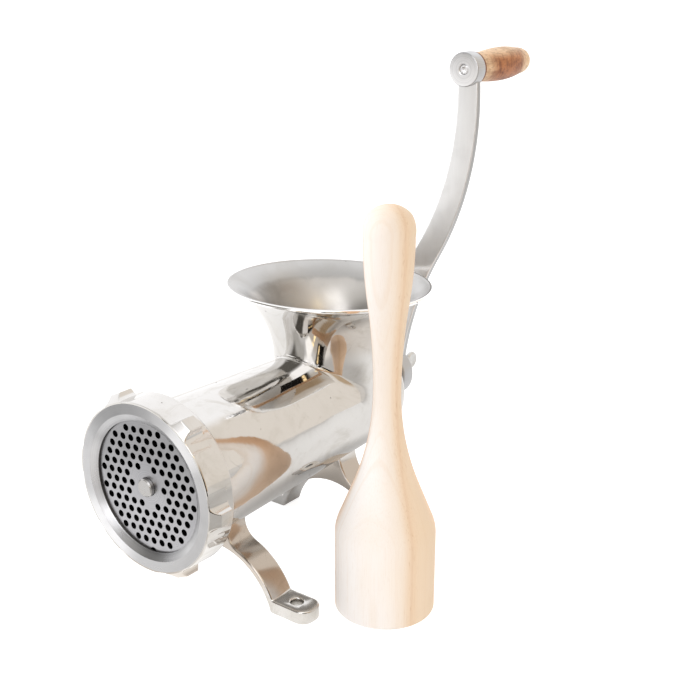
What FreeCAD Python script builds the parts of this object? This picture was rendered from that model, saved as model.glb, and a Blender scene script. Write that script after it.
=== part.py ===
import FreeCAD, Part
import math
import os
import Sketcher

# Hand crank meat grinder, millimetres, +Z up, mouth of the barrel facing -Y.
# The origin is the middle of the four foot-bolt holes on the bench plane.

doc = FreeCAD.newDocument("meat_grinder")
sheet = doc.addObject("Spreadsheet::Sheet", "dims")
V = FreeCAD.Vector
TABLE = [
    # barrel
    ("axis_z", 105.5), ("mouth_y", -132.0), ("head_r", 54.0), ("head_end_y", -121.5), ("head_step_y", -116.5),
    ("barrel_front_r", 48.3), ("barrel_rear_r", 41.8), ("barrel_end_y", 89.0), ("rear_round", 13.0),
    ("rear_wall_y", 102.0), ("boss_r", 19.0), ("boss_end_y", 123.5), ("wall_thk", 5.5),
    ("seat_r", 49.9), ("seat_end_y", -126.3), ("inner_wall_y", 95.0), ("bush_outer_r", 13.0),
    ("thread_depth", 1.3), ("thread_pitch", 4.0),
    # hopper
    ("hopper_y", 50.2), ("hopper_lean", 2.4), ("hopper_top", 91.9), ("rim_outer_r", 76.4), ("rim_under_r", 71.6),
    ("rim_lip", 3.2), ("neck_r", 40.6), ("neck_depth", 58.0), ("bell_out_rad", 65.0), ("bell_in_rad", 63.4),
    ("throat_r", 36.0), ("bell_in_top_r", 73.6), ("saddle_fillet", 4.0),
    # legs and feet
    ("leg_wide", 21.0), ("leg_y", 64.0), ("foot_thk", 10.0), ("foot_end_x", 78.6), ("heel_x", 47.5), ("arch_in_rad", 49.1),
    ("arch_out_rad", 54.5), ("arch_foot_x", 49.4), ("web_front_half", 8.5), ("web_front_z", 51.6), ("web_front_x", 19.0),
    ("web_front_arch_z", 37.9), ("web_front_rad", 15.5), ("web_rear_half", 9.5), ("web_rear_z", 58.0), ("web_rear_x", 26.0),
    ("web_rear_arch_z", 34.7), ("web_rear_rad", 34.0), ("web_top_z", 65.5), ("foot_round", 9.0), ("leg_edge", 1.4),
    ("bolt_x", 63.0), ("bolt_r", 4.5),
    # plate, key and ring
    ("plate_y", -136.0), ("plate_thk", 9.5), ("plate_r", 49.5), ("plate_bore_r", 6.5), ("hole_pitch", 7.3), ("hole_r", 2.38),
    ("lattice_turn", 4.4), ("notch_r", 2.7), ("notch_reach", 45.6), ("key_turn", 2.7), ("key_r", 2.0), ("key_centre", 49.5),
    ("key_y", -131.4), ("key_len", 10.4),
    ("ring_front_y", -140.3), ("ring_rear_y", -118.0), ("ring_front_r", 58.0), ("ring_rear_r", 58.6), ("ring_bore_r", 55.6),
    ("ring_crest_r", 54.35), ("ring_face_r", 50.0), ("ring_open_r", 44.9), ("ring_lip_y", -136.05), ("ear_top_r", 63.0),
    ("ear_half", 4.4), ("ear_base_half", 11.0), ("ear_base_r", 56.2), ("ear_rad", 9.5), ("ear_front_y", -139.9),
    ("ear_turn", 25.0), ("ear_rear_y", -124.3), ("ear_foot_r", 58.4), ("ear_flat_y", -134.6),
    # feed screw, stud and knife
    ("core_front_r", 15.0), ("core_rear_r", 19.0), ("screw_front_y", -117.6), ("collar_y", 84.0), ("collar_end_y", 92.4),
    ("collar_r", 22.0), ("journal_r", 10.0), ("tang_side", 14.0), ("tang_end_y", 135.4), ("flight_gap", 0.9), ("flight_pitch", 44.0),
    ("flight_thk", 5.5), ("stud_r", 6.2), ("stud_front_y", -139.4), ("stud_square", 12.4), ("stud_shank_r", 5.0),
    ("stud_shank_end_y", -96.0), ("knife_front_y", -126.2), ("knife_thk", 7.6), ("knife_reach", 41.8), ("knife_hub_r", 17.0),
    ("knife_arm", 13.0), ("screw_hole_r", 5.1), ("screw_hole_y", 108.0),
    # bush and thrust washer
    ("bush_bore_r", 10.06), ("thrust_r", 21.0),
    # crank
    ("hub_r", 20.3), ("hub_front_y", 124.0), ("hub_rear_y", 136.4), ("arm_front_y", 131.4), ("arm_thk", 5.0),
    ("arm_low_half", 11.4), ("arm_top_half", 8.2), ("crank_x", 64.0), ("crank_z", 243.3), ("crank_boss_r", 12.25),
    ("crank_boss_front_y", 126.8), ("crank_boss_rear_y", 137.3), ("square_play", 0.1), ("arm_edge", 0.9), ("pinch_bore_r", 3.6),
    ("spindle_bore_r", 3.3), ("spindle_seat_y", 131.8),
    ("washer_r", 13.0), ("washer_thk", 2.0), ("thumb_shank_r", 5.0), ("thumb_shank_y", 112.0), ("thumb_collar_r", 8.0),
    ("thumb_collar_len", 7.0), ("spade_r", 7.2), ("spade_half", 2.1), ("spade_dish", 0.7), ("spade_y", 162.4), ("spade_neck", 4.4),
    # grip
    ("fibre_r", 11.8), ("fibre_thk", 1.8), ("spindle_r", 3.2), ("spindle_head_r", 4.8), ("spindle_head_y", 207.2), ("spindle_end_y", 210.2),
    ("grip_gap", 0.3), ("grip_neck_r", 9.3), ("grip_mid_r", 12.1), ("grip_mid_y", 175.0), ("grip_tail_r", 9.7), ("grip_tail_y", 201.0),
    ("grip_end_r", 5.9), ("grip_end_y", 211.4), ("grip_front_rad", 240.0), ("grip_back_rad", 142.0), ("grip_round_rad", 14.0),
    ("pinch_r", 3.5), ("pinch_y", 127.2), ("pinch_len", 4.2), ("pinch_hex", 4.0),
    # pusher
    ("pusher_x", 103.0), ("pusher_y", -17.5), ("pusher_r", 34.2), ("pusher_edge", 3.0), ("pusher_body_z", 57.2),
    ("pusher_shoulder_r", 31.9), ("pusher_shoulder_z", 68.4), ("pusher_shoulder_rad", 30.0), ("pusher_cone_r", 22.16),
    ("pusher_cone_z", 92.6), ("pusher_waist_r", 9.2), ("pusher_waist_z", 159.6), ("pusher_waist_rad", 178.0),
    ("pusher_hand_r", 13.4), ("pusher_hand_z", 218.6), ("pusher_hand_rad", 411.0), ("pusher_top_r", 16.6), ("pusher_top_z", 262.4),
    ("pusher_top_rad", 300.0), ("pusher_dome_r", 14.2), ("pusher_dome_z", 276.2), ("pusher_dome_rad", 21.0), ("pusher_high", 282.7),
    ("pusher_cap_rad", 17.6),
]
for row, (alias, value) in enumerate(TABLE, start=1):
    sheet.set("A%d" % row, alias)
    sheet.set("B%d" % row, repr(value))
    sheet.setAlias("B%d" % row, alias)
doc.recompute()


# A length that carries both its value and its formula over the sheet.
class Dim:
    def __init__(self, value, text):
        self.value = float(value)
        self.text = text

    def __add__(self, other):
        other = as_dim(other)
        return Dim(self.value + other.value, "(%s + %s)" % (self.text, other.text))

    def __sub__(self, other):
        other = as_dim(other)
        return Dim(self.value - other.value, "(%s - %s)" % (self.text, other.text))

    def __mul__(self, other):
        other = as_dim(other)
        return Dim(self.value * other.value, "(%s * %s)" % (self.text, other.text))

    def __neg__(self):
        return Dim(-self.value, "(0 - %s)" % self.text)


def as_dim(x):
    return x if isinstance(x, Dim) else Dim(x, repr(float(x)))


def d(alias):
    return Dim(float(sheet.get(alias)), "dims." + alias)


def bind(obj, prop, dim):
    obj.setExpression(prop, as_dim(dim).text)


def set_number(obj, prop, dim):
    setattr(obj, prop, as_dim(dim).value)
    bind(obj, prop, dim)


# ---- sketches -------------------------------------------------------------
def new_sketch(body, name, role, base=(0, 0, 0), turn=0):
    sk = body.newObject("Sketcher::SketchObject", name)
    plane = [f for f in body.Origin.OriginFeatures if f.Role == role][0]
    sk.AttachmentSupport = [(plane, "")]
    sk.MapMode = "FlatFace"
    sk.AttachmentOffset = FreeCAD.Placement(V(*[as_dim(b).value for b in base]), FreeCAD.Rotation(V(0, 0, 1), as_dim(turn).value))
    for key, b in zip("xyz", base):
        if isinstance(b, Dim):
            bind(sk, "AttachmentOffset.Base." + key, b)
    if isinstance(turn, Dim):
        bind(sk, "AttachmentOffset.Rotation.Angle", turn)
    return sk


def constrain(sk, kind, *args):
    dim = as_dim(args[-1])
    k = sk.addConstraint(Sketcher.Constraint(kind, *args[:-1], dim.value))
    if isinstance(args[-1], Dim):
        sk.setExpression("Constraints[%d]" % k, dim.text)


def pin_point(sk, geo, pos, x, y):
    for kind, val, axis in (("DistanceX", x, -2), ("DistanceY", y, -1)):
        if as_dim(val).value == 0.0:
            sk.addConstraint(Sketcher.Constraint("PointOnObject", geo, pos, axis))
        else:
            constrain(sk, kind, -1, 1, geo, pos, val)


# corners: (x, y) or (x, y, radius); the radius belongs to the edge that leaves the corner,
# positive for an arc that turns left, negative for one that turns right.
def outline(sk, corners):
    n = len(corners)
    ends = []
    for i, c in enumerate(corners):
        e = corners[(i + 1) % n]
        p = V(as_dim(c[0]).value, as_dim(c[1]).value, 0)
        q = V(as_dim(e[0]).value, as_dim(e[1]).value, 0)
        if len(c) == 2:
            sk.addGeometry(Part.LineSegment(p, q), False)
            ends.append((1, 2))
            continue
        signed = as_dim(c[2]).value
        r = abs(signed)
        chord = q - p
        left = V(-chord.y, chord.x, 0).normalize()
        mid = (p + q) * 0.5
        rise = math.sqrt(max(r * r - chord.Length ** 2 / 4, 0.0))
        centre = mid + left * (rise if signed > 0 else -rise)
        a, b = (p, q) if signed > 0 else (q, p)
        a0 = math.atan2(a.y - centre.y, a.x - centre.x)
        a1 = math.atan2(b.y - centre.y, b.x - centre.x)
        if a1 <= a0:
            a1 += 2 * math.pi
        sk.addGeometry(Part.ArcOfCircle(Part.Circle(centre, V(0, 0, 1), r), a0, a1), False)
        ends.append((1, 2) if signed > 0 else (2, 1))
    for i in range(n):
        j = (i + 1) % n
        sk.addConstraint(Sketcher.Constraint("Coincident", i, ends[i][1], j, ends[j][0]))
    for i, c in enumerate(corners):
        pin_point(sk, i, ends[i][0], c[0], c[1])
        if len(c) == 3:
            rad = c[2]
            if as_dim(rad).value < 0:
                rad = -rad if not isinstance(rad, Dim) else Dim(-rad.value, rad.text[5:-1])
            constrain(sk, "Radius", i, rad)
    return sk


def circle(sk, x, y, r):
    k = sk.addGeometry(Part.Circle(V(as_dim(x).value, as_dim(y).value, 0), V(0, 0, 1), as_dim(r).value), False)
    pin_point(sk, k, 3, x, y)
    constrain(sk, "Radius", k, r)
    return sk


def square(sk, side):
    half = side * 0.5
    return outline(sk, [(-half, -half), (half, -half), (half, half), (-half, half)])


def new_body(name, label=None):
    body = doc.addObject("PartDesign::Body", name)
    if label:
        body.Label = label
    return body


def turned(body, name, sk, axis, kind="PartDesign::Revolution"):
    f = body.newObject(kind, name)
    f.Profile = sk
    f.ReferenceAxis = (sk, [axis])
    f.Angle = 360
    doc.recompute()
    return f


# A pad from y0 to y1 of a sketch that lies on the plane y = y1 (its normal is -Y).
def pad(body, name, sk, length, kind="PartDesign::Pad", reverse=False):
    f = body.newObject(kind, name)
    f.Profile = sk
    f.Reversed = reverse
    set_number(f, "Length", length)
    doc.recompute()
    return f


def dress(body, name, kind, base, picked, prop, size):
    f = body.newObject(kind, name)
    f.Base = (base, ["Edge%d" % k for k in picked])
    set_number(f, prop, size)
    body.Tip = f
    doc.recompute()
    return f


def edges_where(shape, test):
    return [k for k, e in enumerate(shape.Edges, start=1) if test(e)]


# ---- primitives on the Y axis of the grinder ------------------------------
def rod(name, r, y0, y1, x=0.0, z=None, label=None):
    c = doc.addObject("Part::Cylinder", name)
    z = d("axis_z") if z is None else z
    c.Placement = FreeCAD.Placement(V(as_dim(x).value, as_dim(y0).value, as_dim(z).value), FreeCAD.Rotation(V(1, 0, 0), -90))
    set_number(c, "Radius", r)
    set_number(c, "Height", as_dim(y1) - y0)
    for key, b in (("x", x), ("y", y0), ("z", z)):
        bind(c, "Placement.Base." + key, b)
    if label:
        c.Label = label
    return c


def cut(name, base, tool, label=None):
    c = doc.addObject("Part::Cut", name)
    c.Base = base
    c.Tool = tool
    if label:
        c.Label = label
    return c


def fuse(name, shapes, label=None):
    f = doc.addObject("Part::MultiFuse", name)
    f.Shapes = shapes
    if label:
        f.Label = label
    return f


AX = d("axis_z")

# ---- body casting ---------------------------------------------------------
barrel = new_body("Barrel")
sk = new_sketch(barrel, "BarrelOutline", "YZ_Plane", (0, AX, 0))
groove_lo = d("head_r") - d("thread_depth")
corners = [(d("mouth_y"), 0), (d("rear_wall_y") + (d("boss_end_y") - d("rear_wall_y")), 0), (d("boss_end_y"), d("boss_r") - 1.2),
           (d("boss_end_y") - 1.2, d("boss_r")), (d("rear_wall_y"), d("boss_r")), (d("rear_wall_y"), d("barrel_rear_r") - d("rear_round"), d("rear_round")),
           (d("barrel_end_y"), d("barrel_rear_r")), (d("head_step_y"), d("barrel_front_r")), (d("head_end_y"), d("head_r"))]
# thread on the barrel head: crests and roots at the pitch
for k in range(2):
    y_hi = d("head_end_y") - 2.0 - d("thread_pitch") * float(k)
    corners += [(y_hi, d("head_r")), (y_hi - 1.2, groove_lo), (y_hi - 1.8, groove_lo), (y_hi - 3.0, d("head_r"))]
corners += [(d("mouth_y") + 1.0, d("head_r")), (d("mouth_y"), d("head_r") - 1.0)]
outline(sk, corners)
turned(barrel, "BarrelTurned", sk, "H_Axis")

bell = new_body("Bell")
sk = new_sketch(bell, "BellOutline", "YZ_Plane", (d("hopper_y"), AX, 0), -d("hopper_lean"))
top = d("hopper_top")
outline(sk, [(0, 0), (d("neck_r"), 0), (d("neck_r"), top - d("neck_depth"), -d("bell_out_rad")),
             (d("rim_under_r"), top - d("rim_lip")), (d("rim_outer_r") - 1.6, top - d("rim_lip") + 0.35, 1.5),
             (d("rim_outer_r") - 1.6, top), (0, top)])
turned(bell, "BellTurned", sk, "V_Axis")


def leg_pair(name, y_mid, half, web_z, web_x, arch_z, rad):
    body = new_body(name)
    sk = new_sketch(body, name + "Outline", "XZ_Plane", (0, 0, -(y_mid + d("leg_wide") * 0.5)))
    outline(sk, [
        (d("foot_end_x"), 0), (d("foot_end_x"), d("foot_thk")), (d("arch_foot_x"), d("foot_thk"), d("arch_out_rad")),
        (web_x, arch_z, -rad), (half, web_z), (half, d("web_top_z")), (-half, d("web_top_z")), (-half, web_z, -rad),
        (-web_x, arch_z, d("arch_out_rad")), (-d("arch_foot_x"), d("foot_thk")), (-d("foot_end_x"), d("foot_thk")),
        (-d("foot_end_x"), 0), (-d("heel_x"), 0, -d("arch_in_rad")), (d("heel_x"), 0)])
    p = pad(body, name + "Pad", sk, d("leg_wide"))
    ends = edges_where(p.Shape, lambda e: abs(abs(e.CenterOfMass.x) - d("foot_end_x").value) < 0.01 and len(e.Vertexes) == 2
                       and abs(e.Vertexes[0].Z - e.Vertexes[1].Z) > 5)
    f = dress(body, name + "Ends", "PartDesign::Fillet", p, ends, "Radius", d("foot_round"))
    rims = edges_where(f.Shape, lambda e: e.CenterOfMass.z > 2 and e.CenterOfMass.z < 45 and e.Length > 6
                       and not (abs(e.Vertexes[0].X - e.Vertexes[-1].X) < 0.01 and abs(e.Vertexes[0].Y - e.Vertexes[-1].Y) > 5)
                       and not (abs(e.CenterOfMass.x) < 5))
    g = dress(body, name + "Edges", "PartDesign::Fillet", f, rims, "Radius", d("leg_edge"))
    if g.Shape.isNull() or not g.Shape.isValid():
        body.removeObject(g)
        doc.removeObject(g.Name)
        body.Tip = f
        doc.recompute()
        print("plain edges on", name)
    return body


front_legs = leg_pair("FrontLegs", -d("leg_y"), d("web_front_half"), d("web_front_z"), d("web_front_x"), d("web_front_arch_z"), d("web_front_rad"))
rear_legs = leg_pair("RearLegs", d("leg_y"), d("web_rear_half"), d("web_rear_z"), d("web_rear_x"), d("web_rear_arch_z"), d("web_rear_rad"))

outer = fuse("CastOuter", [barrel, bell, front_legs, rear_legs])
outer.Refine = True
doc.recompute()

# the crease where the neck saddles the barrel is a small fillet
saddle = []
lean = math.radians(as_dim(d("hopper_lean")).value)
for k, e in enumerate(outer.Shape.Edges, start=1):
    pts = e.discretize(5)
    ok = True
    for p in pts:
        s = p.y - d("hopper_y").value
        z = p.z - AX.value
        across = math.hypot(p.x, s * math.cos(lean) - z * math.sin(lean))
        up = z * math.cos(lean) + s * math.sin(lean)
        near = abs(math.hypot(p.x, z) - (d("barrel_front_r").value + (p.y - d("head_step_y").value) * (d("barrel_rear_r").value - d("barrel_front_r").value) / (d("barrel_end_y").value - d("head_step_y").value)))
        if near > 2.0 or up < 3 or across > d("neck_r").value + 12:
            ok = False
    if ok and e.Length > 3:
        saddle.append(k)
print("saddle edges", saddle)
cast_solid = outer
if saddle:
    fil = doc.addObject("Part::Fillet", "CastSaddle")
    fil.Base = outer
    fil.Edges = [(k, d("saddle_fillet").value, d("saddle_fillet").value) for k in saddle]
    doc.recompute()
    if not fil.Shape.isNull() and fil.Shape.isValid() and abs(fil.Shape.Volume - outer.Shape.Volume) > 1:
        cast_solid = fil
    else:
        doc.removeObject(fil.Name)
        doc.recompute()
        print("saddle left sharp")

bore = new_body("CastBore")
sk = new_sketch(bore, "BoreOutline", "YZ_Plane", (0, AX, 0))
outline(sk, [(d("mouth_y") - 5.0, 0), (d("boss_end_y") + 5.0, 0), (d("boss_end_y") + 5.0, d("bush_outer_r")), (d("inner_wall_y"), d("bush_outer_r")),
             (d("inner_wall_y"), d("barrel_rear_r") - d("wall_thk") - 9.0, as_dim(9.0)),
             (d("inner_wall_y") - 9.0, d("barrel_rear_r") - d("wall_thk")),
             (d("seat_end_y"), d("barrel_front_r") - d("wall_thk")), (d("seat_end_y"), d("seat_r")), (d("mouth_y") - 5.0, d("seat_r"))])
turned(bore, "BoreTurned", sk, "H_Axis")

throat = new_body("CastThroat")
sk = new_sketch(throat, "ThroatOutline", "YZ_Plane", (d("hopper_y"), AX, 0), -d("hopper_lean"))
outline(sk, [(0, 0), (d("throat_r"), 0), (d("throat_r"), top - d("neck_depth"), -d("bell_in_rad")), (d("bell_in_top_r"), top),
             (d("bell_in_top_r"), top + 10.0), (0, top + 10.0)])
turned(throat, "ThroatTurned", sk, "V_Axis")

bolts = []
for k, (sx, sy) in enumerate(((1, 1), (1, -1), (-1, 1), (-1, -1))):
    c = doc.addObject("Part::Cylinder", "BoltHole%d" % k)
    set_number(c, "Radius", d("bolt_r"))
    set_number(c, "Height", d("foot_thk") + 4.0)
    c.Placement.Base = V(sx * 63, sy * 64, -2)
    bind(c, "Placement.Base.x", d("bolt_x") * float(sx))
    bind(c, "Placement.Base.y", d("leg_y") * float(sy))
    bolts.append(c)
key_a = math.radians(d("key_turn").value)
key_x = Dim(d("key_centre").value * math.sin(key_a), "(dims.key_centre * sin(dims.key_turn * 1deg))")
key_z = Dim(AX.value - d("key_centre").value * math.cos(key_a), "(dims.axis_z - dims.key_centre * cos(dims.key_turn * 1deg))")
key_seat = rod("KeySeat", d("key_r"), d("mouth_y") - 1.0, d("key_y") + d("key_len"), key_x, key_z)
cast_tools = fuse("CastTools", [bore, throat, key_seat] + bolts)
casting = cut("BodyCasting", cast_solid, cast_tools, "body_casting")

# ---- bearing pieces of the casting ----------------------------------------
rod("KeyPin", d("key_r"), d("key_y"), d("key_y") + d("key_len"), key_x, key_z, label="plate_key_pin")
key_pin = doc.getObject("KeyPin")

bush = cut("RearBush", rod("BushOuter", d("bush_outer_r"), d("inner_wall_y"), d("boss_end_y")),
           rod("BushBore", d("bush_bore_r"), d("inner_wall_y") - 1.0, d("boss_end_y") + 1.0), "rear_bush")
thrust = cut("ThrustWasher", rod("ThrustOuter", d("thrust_r"), d("collar_end_y") + 0.3, d("inner_wall_y")),
             rod("ThrustBore", d("bush_bore_r") + 0.2, d("collar_end_y") - 1.0, d("inner_wall_y") + 1.0), "thrust_washer")

# ---- grinding plate -------------------------------------------------------
plate_blank = rod("PlateBlank", d("plate_r"), d("plate_y"), d("plate_y") + d("plate_thk"))
plate_bore = rod("PlateBore", d("plate_bore_r"), d("plate_y") - 1.0, d("plate_y") + d("plate_thk") + 1.0)
phi = math.radians(d("lattice_turn").value)
pitch = d("hole_pitch").value
drills = []
for i in range(-6, 7):
    for j in range(-6, 7):
        if abs(i + j) > 6:
            continue
        lx, ly = i + j / 2.0, j * math.sqrt(3) / 2.0
        far = math.hypot(lx, ly)
        if far < 1.9 or far > 5.9:
            continue
        x = (lx * math.cos(phi) - ly * math.sin(phi)) * pitch
        z = (lx * math.sin(phi) + ly * math.cos(phi)) * pitch
        drills.append(Part.makeCylinder(d("hole_r").value, d("plate_thk").value + 2, V(x, d("plate_y").value - 1, AX.value + z), V(0, 1, 0)))
print("plate holes", len(drills))
plate_drills = doc.addObject("Part::Feature", "PlateDrills")
plate_drills.Shape = Part.makeCompound(drills)
plate_drills.Placement = FreeCAD.Placement()
notch = new_body("PlateNotch")
sk = new_sketch(notch, "NotchOutline", "XZ_Plane", (0, AX, -(d("plate_y") + d("plate_thk") + 1.0)), d("key_turn"))
outline(sk, [(-d("notch_r"), -d("plate_r") - 3.0), (d("notch_r"), -d("plate_r") - 3.0), (d("notch_r"), -d("notch_reach"), d("notch_r") * 1.0001),
             (-d("notch_r"), -d("notch_reach"))])
pad(notch, "NotchPad", sk, d("plate_thk") + 2.0)
plate = cut("GrindingPlate", plate_blank, fuse("PlateTools", [plate_bore, notch, plate_drills]), "grinding_plate")

# ---- ring nut -------------------------------------------------------------
ring = new_body("RingNut", "ring_nut")
sk = new_sketch(ring, "RingOutline", "YZ_Plane", (0, AX, 0))
corners = [(d("ring_front_y"), d("ring_face_r")), (d("ring_lip_y") - 1.5, d("ring_open_r")), (d("ring_lip_y"), d("ring_open_r")),
           (d("ring_lip_y"), d("ring_bore_r"))]
for k in range(4):
    y_lo = d("ring_lip_y") + 3.0 + d("thread_pitch") * float(k)
    corners += [(y_lo, d("ring_bore_r")), (y_lo + 1.2, d("ring_crest_r")), (y_lo + 1.8, d("ring_crest_r")), (y_lo + 3.0, d("ring_bore_r"))]
corners += [(d("ring_rear_y"), d("ring_bore_r")), (d("ring_rear_y"), d("ring_rear_r") - 1.0), (d("ring_rear_y") - 1.0, d("ring_rear_r")),
            (d("ring_front_y") + 0.9, d("ring_front_r")), (d("ring_front_y"), d("ring_front_r") - 0.9)]
outline(sk, corners)
turned(ring, "RingTurned", sk, "H_Axis")
sk = new_sketch(ring, "EarOutline", "XZ_Plane", (0, AX, -d("ear_rear_y")), d("ear_turn"))
outline(sk, [(-d("ear_base_half"), d("ear_base_r")), (d("ear_base_half"), d("ear_base_r"), -d("ear_rad")), (d("ear_half"), d("ear_top_r")),
             (-d("ear_half"), d("ear_top_r"), -d("ear_rad"))])
ear = pad(ring, "EarPad", sk, d("ear_rear_y") - d("ear_front_y"))
pat = ring.newObject("PartDesign::PolarPattern", "Ears")
pat.Originals = [ear]
pat.Axis = (sk, ["N_Axis"])
pat.Angle = 360
pat.Occurrences = 6
ring.Tip = pat
doc.recompute()
# the ears' front faces lean back from the rim of the ring
sk = new_sketch(ring, "EarSlantOutline", "YZ_Plane", (0, AX, 0))
outline(sk, [(d("ring_front_y") - 2.0, d("ear_foot_r")), (d("ear_front_y"), d("ear_foot_r")), (d("ear_flat_y"), d("ear_top_r") + 0.6),
             (d("ear_flat_y"), d("ear_top_r") + 5.0), (d("ring_front_y") - 2.0, d("ear_top_r") + 5.0)])
slant = turned(ring, "EarSlant", sk, "H_Axis", "PartDesign::Groove")
tips = edges_where(slant.Shape, lambda e: math.hypot(e.CenterOfMass.x, e.CenterOfMass.z - AX.value) > 60.0)
ear_round = dress(ring, "EarRound", "PartDesign::Fillet", slant, tips, "Radius", as_dim(1.0))
if ear_round.Shape.isNull() or not ear_round.Shape.isValid():
    ring.removeObject(ear_round)
    doc.removeObject(ear_round.Name)
    ring.Tip = slant
    doc.recompute()
    print("plain ears")

# ---- feed screw, stud, knife ----------------------------------------------
screw = new_body("FeedScrew", "feed_screw")
sk = new_sketch(screw, "CoreOutline", "YZ_Plane", (0, AX, 0))
outline(sk, [(d("screw_front_y"), 0), (d("boss_end_y"), 0), (d("boss_end_y"), d("journal_r")), (d("collar_end_y"), d("journal_r")),
             (d("collar_end_y"), d("collar_r")), (d("collar_y"), d("collar_r")), (d("collar_y") - 6.0, d("core_rear_r")),
             (d("screw_front_y"), d("core_front_r"))])
core = turned(screw, "CoreTurned", sk, "H_Axis")
sk = new_sketch(screw, "TangOutline", "XZ_Plane", (0, AX, -d("tang_end_y")))
square(sk, d("tang_side"))
pad(screw, "Tang", sk, d("tang_end_y") - d("boss_end_y") + 1.0)
screw_bores = fuse("ScrewBores", [rod("ThumbHole", d("screw_hole_r"), d("screw_hole_y"), d("tang_end_y") + 2.0),
                                  rod("StudHole", d("stud_shank_r"), d("screw_front_y") - 2.0, d("stud_shank_end_y"))])
screw.Label = "feed_screw_core"
# left-hand flight: wound from the collar to the mouth, growing with the bore
slope = (d("barrel_front_r").value - d("barrel_rear_r").value) / (d("inner_wall_y").value - 9.0 - d("seat_end_y").value)
rear_y = d("collar_y").value - 5.5
rear_tip = d("barrel_rear_r").value - d("wall_thk").value - d("flight_gap").value + slope * (d("inner_wall_y").value - 9.0 - rear_y)
root_thk = d("flight_thk").value + 2.0
rise = rear_y - d("screw_front_y").value - root_thk
helix = Part.makeHelix(d("flight_pitch").value, rise, 24.0, math.degrees(math.atan(slope)), True)
section = Part.makePolygon([V(8, 0, 0), V(8, 0, root_thk), V(rear_tip, 0, root_thk - 1.0), V(rear_tip, 0, 1.0), V(8, 0, 0)])
flight = doc.addObject("Part::Feature", "Flight")
flight.Shape = Part.Wire(helix.Edges).makePipeShell([section], True, True)
flight.Placement = FreeCAD.Placement(V(0, rear_y, AX.value), FreeCAD.Rotation(V(1, 0, 0), 90))
feed_screw = cut("FeedScrewBored", fuse("ScrewWhole", [screw, flight]), screw_bores, "feed_screw")

stud = new_body("KnifeStud", "knife_stud")
sk = new_sketch(stud, "StudOutline", "YZ_Plane", (0, AX, 0))
outline(sk, [(d("stud_front_y"), 0), (d("stud_shank_end_y"), 0), (d("stud_shank_end_y"), d("stud_shank_r")), (d("screw_front_y"), d("stud_shank_r")),
             (d("screw_front_y"), d("stud_r")), (d("stud_front_y") + 0.8, d("stud_r")), (d("stud_front_y"), d("stud_r") - 0.8)])
turned(stud, "StudTurned", sk, "H_Axis")
sk = new_sketch(stud, "StudSquare", "XZ_Plane", (0, AX, -d("screw_front_y")))
square(sk, d("stud_square"))
pad(stud, "StudSquarePad", sk, d("screw_front_y") - d("knife_front_y"))

knife = new_body("Knife", "knife")
knife_back = d("knife_front_y") + d("knife_thk")
sk = new_sketch(knife, "KnifeHub", "XZ_Plane", (0, AX, -knife_back))
circle(sk, 0, 0, d("knife_hub_r"))
pad(knife, "KnifeHubPad", sk, d("knife_thk"))
sk = new_sketch(knife, "KnifeArm", "XZ_Plane", (0, AX, -knife_back), 12.0)
outline(sk, [(8.0, -d("knife_arm") * 0.5), (d("knife_reach") - 2.0, -d("knife_arm") * 0.5 + 1.0), (d("knife_reach"), d("knife_arm") * 0.5 - 3.0),
             (d("knife_hub_r") + 6.0, d("knife_arm") * 0.5 + 1.0), (8.0, d("knife_arm") * 0.5 + 3.0)])
arm = pad(knife, "KnifeArmPad", sk, d("knife_thk"))
pat = knife.newObject("PartDesign::PolarPattern", "KnifeArms")
pat.Originals = [arm]
pat.Axis = (sk, ["N_Axis"])
pat.Angle = 360
pat.Occurrences = 4
knife.Tip = pat
doc.recompute()
sk = new_sketch(knife, "KnifeHole", "XZ_Plane", (0, AX, -(knife_back + 1.0)))
square(sk, d("stud_square") + d("square_play") * 2.0)
pad(knife, "KnifeSquare", sk, d("knife_thk") + 2.0, "PartDesign::Pocket", reverse=True)

# ---- crank ----------------------------------------------------------------
crank = new_body("CrankArm", "crank_arm")


def crank_line():
    pts = []
    x = z = 0.0
    head = math.radians(6.0)
    steps = 400
    for length, turn in ((112.0, 24.0), (144.2, -36.0)):
        pts.append((x, z, head))
        for k in range(steps):
            h2 = head + math.radians(turn) / steps
            x += math.sin((head + h2) / 2) * length / steps
            z += math.cos((head + h2) / 2) * length / steps
            head = h2
            if k == steps // 2 - 1:
                pts.append((x, z, head))
    pts.append((x, z, head))
    return pts


stations = crank_line()
lo, hi = d("arm_low_half").value, d("arm_top_half").value
rail = {1: [], -1: []}
for k, (x, z, head) in enumerate(stations):
    half = lo + (hi - lo) * k / (len(stations) - 1.0)
    for side in (1, -1):
        rail[side].append((x + side * half * math.cos(head), z - side * half * math.sin(head)))


def arc_radius(a, b, c):
    ab, bc, ca = math.dist(a, b), math.dist(b, c), math.dist(c, a)
    area = ((b[0] - a[0]) * (c[1] - a[1]) - (c[0] - a[0]) * (b[1] - a[1])) / 2.0
    return ab * bc * ca / (4.0 * area)


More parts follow.
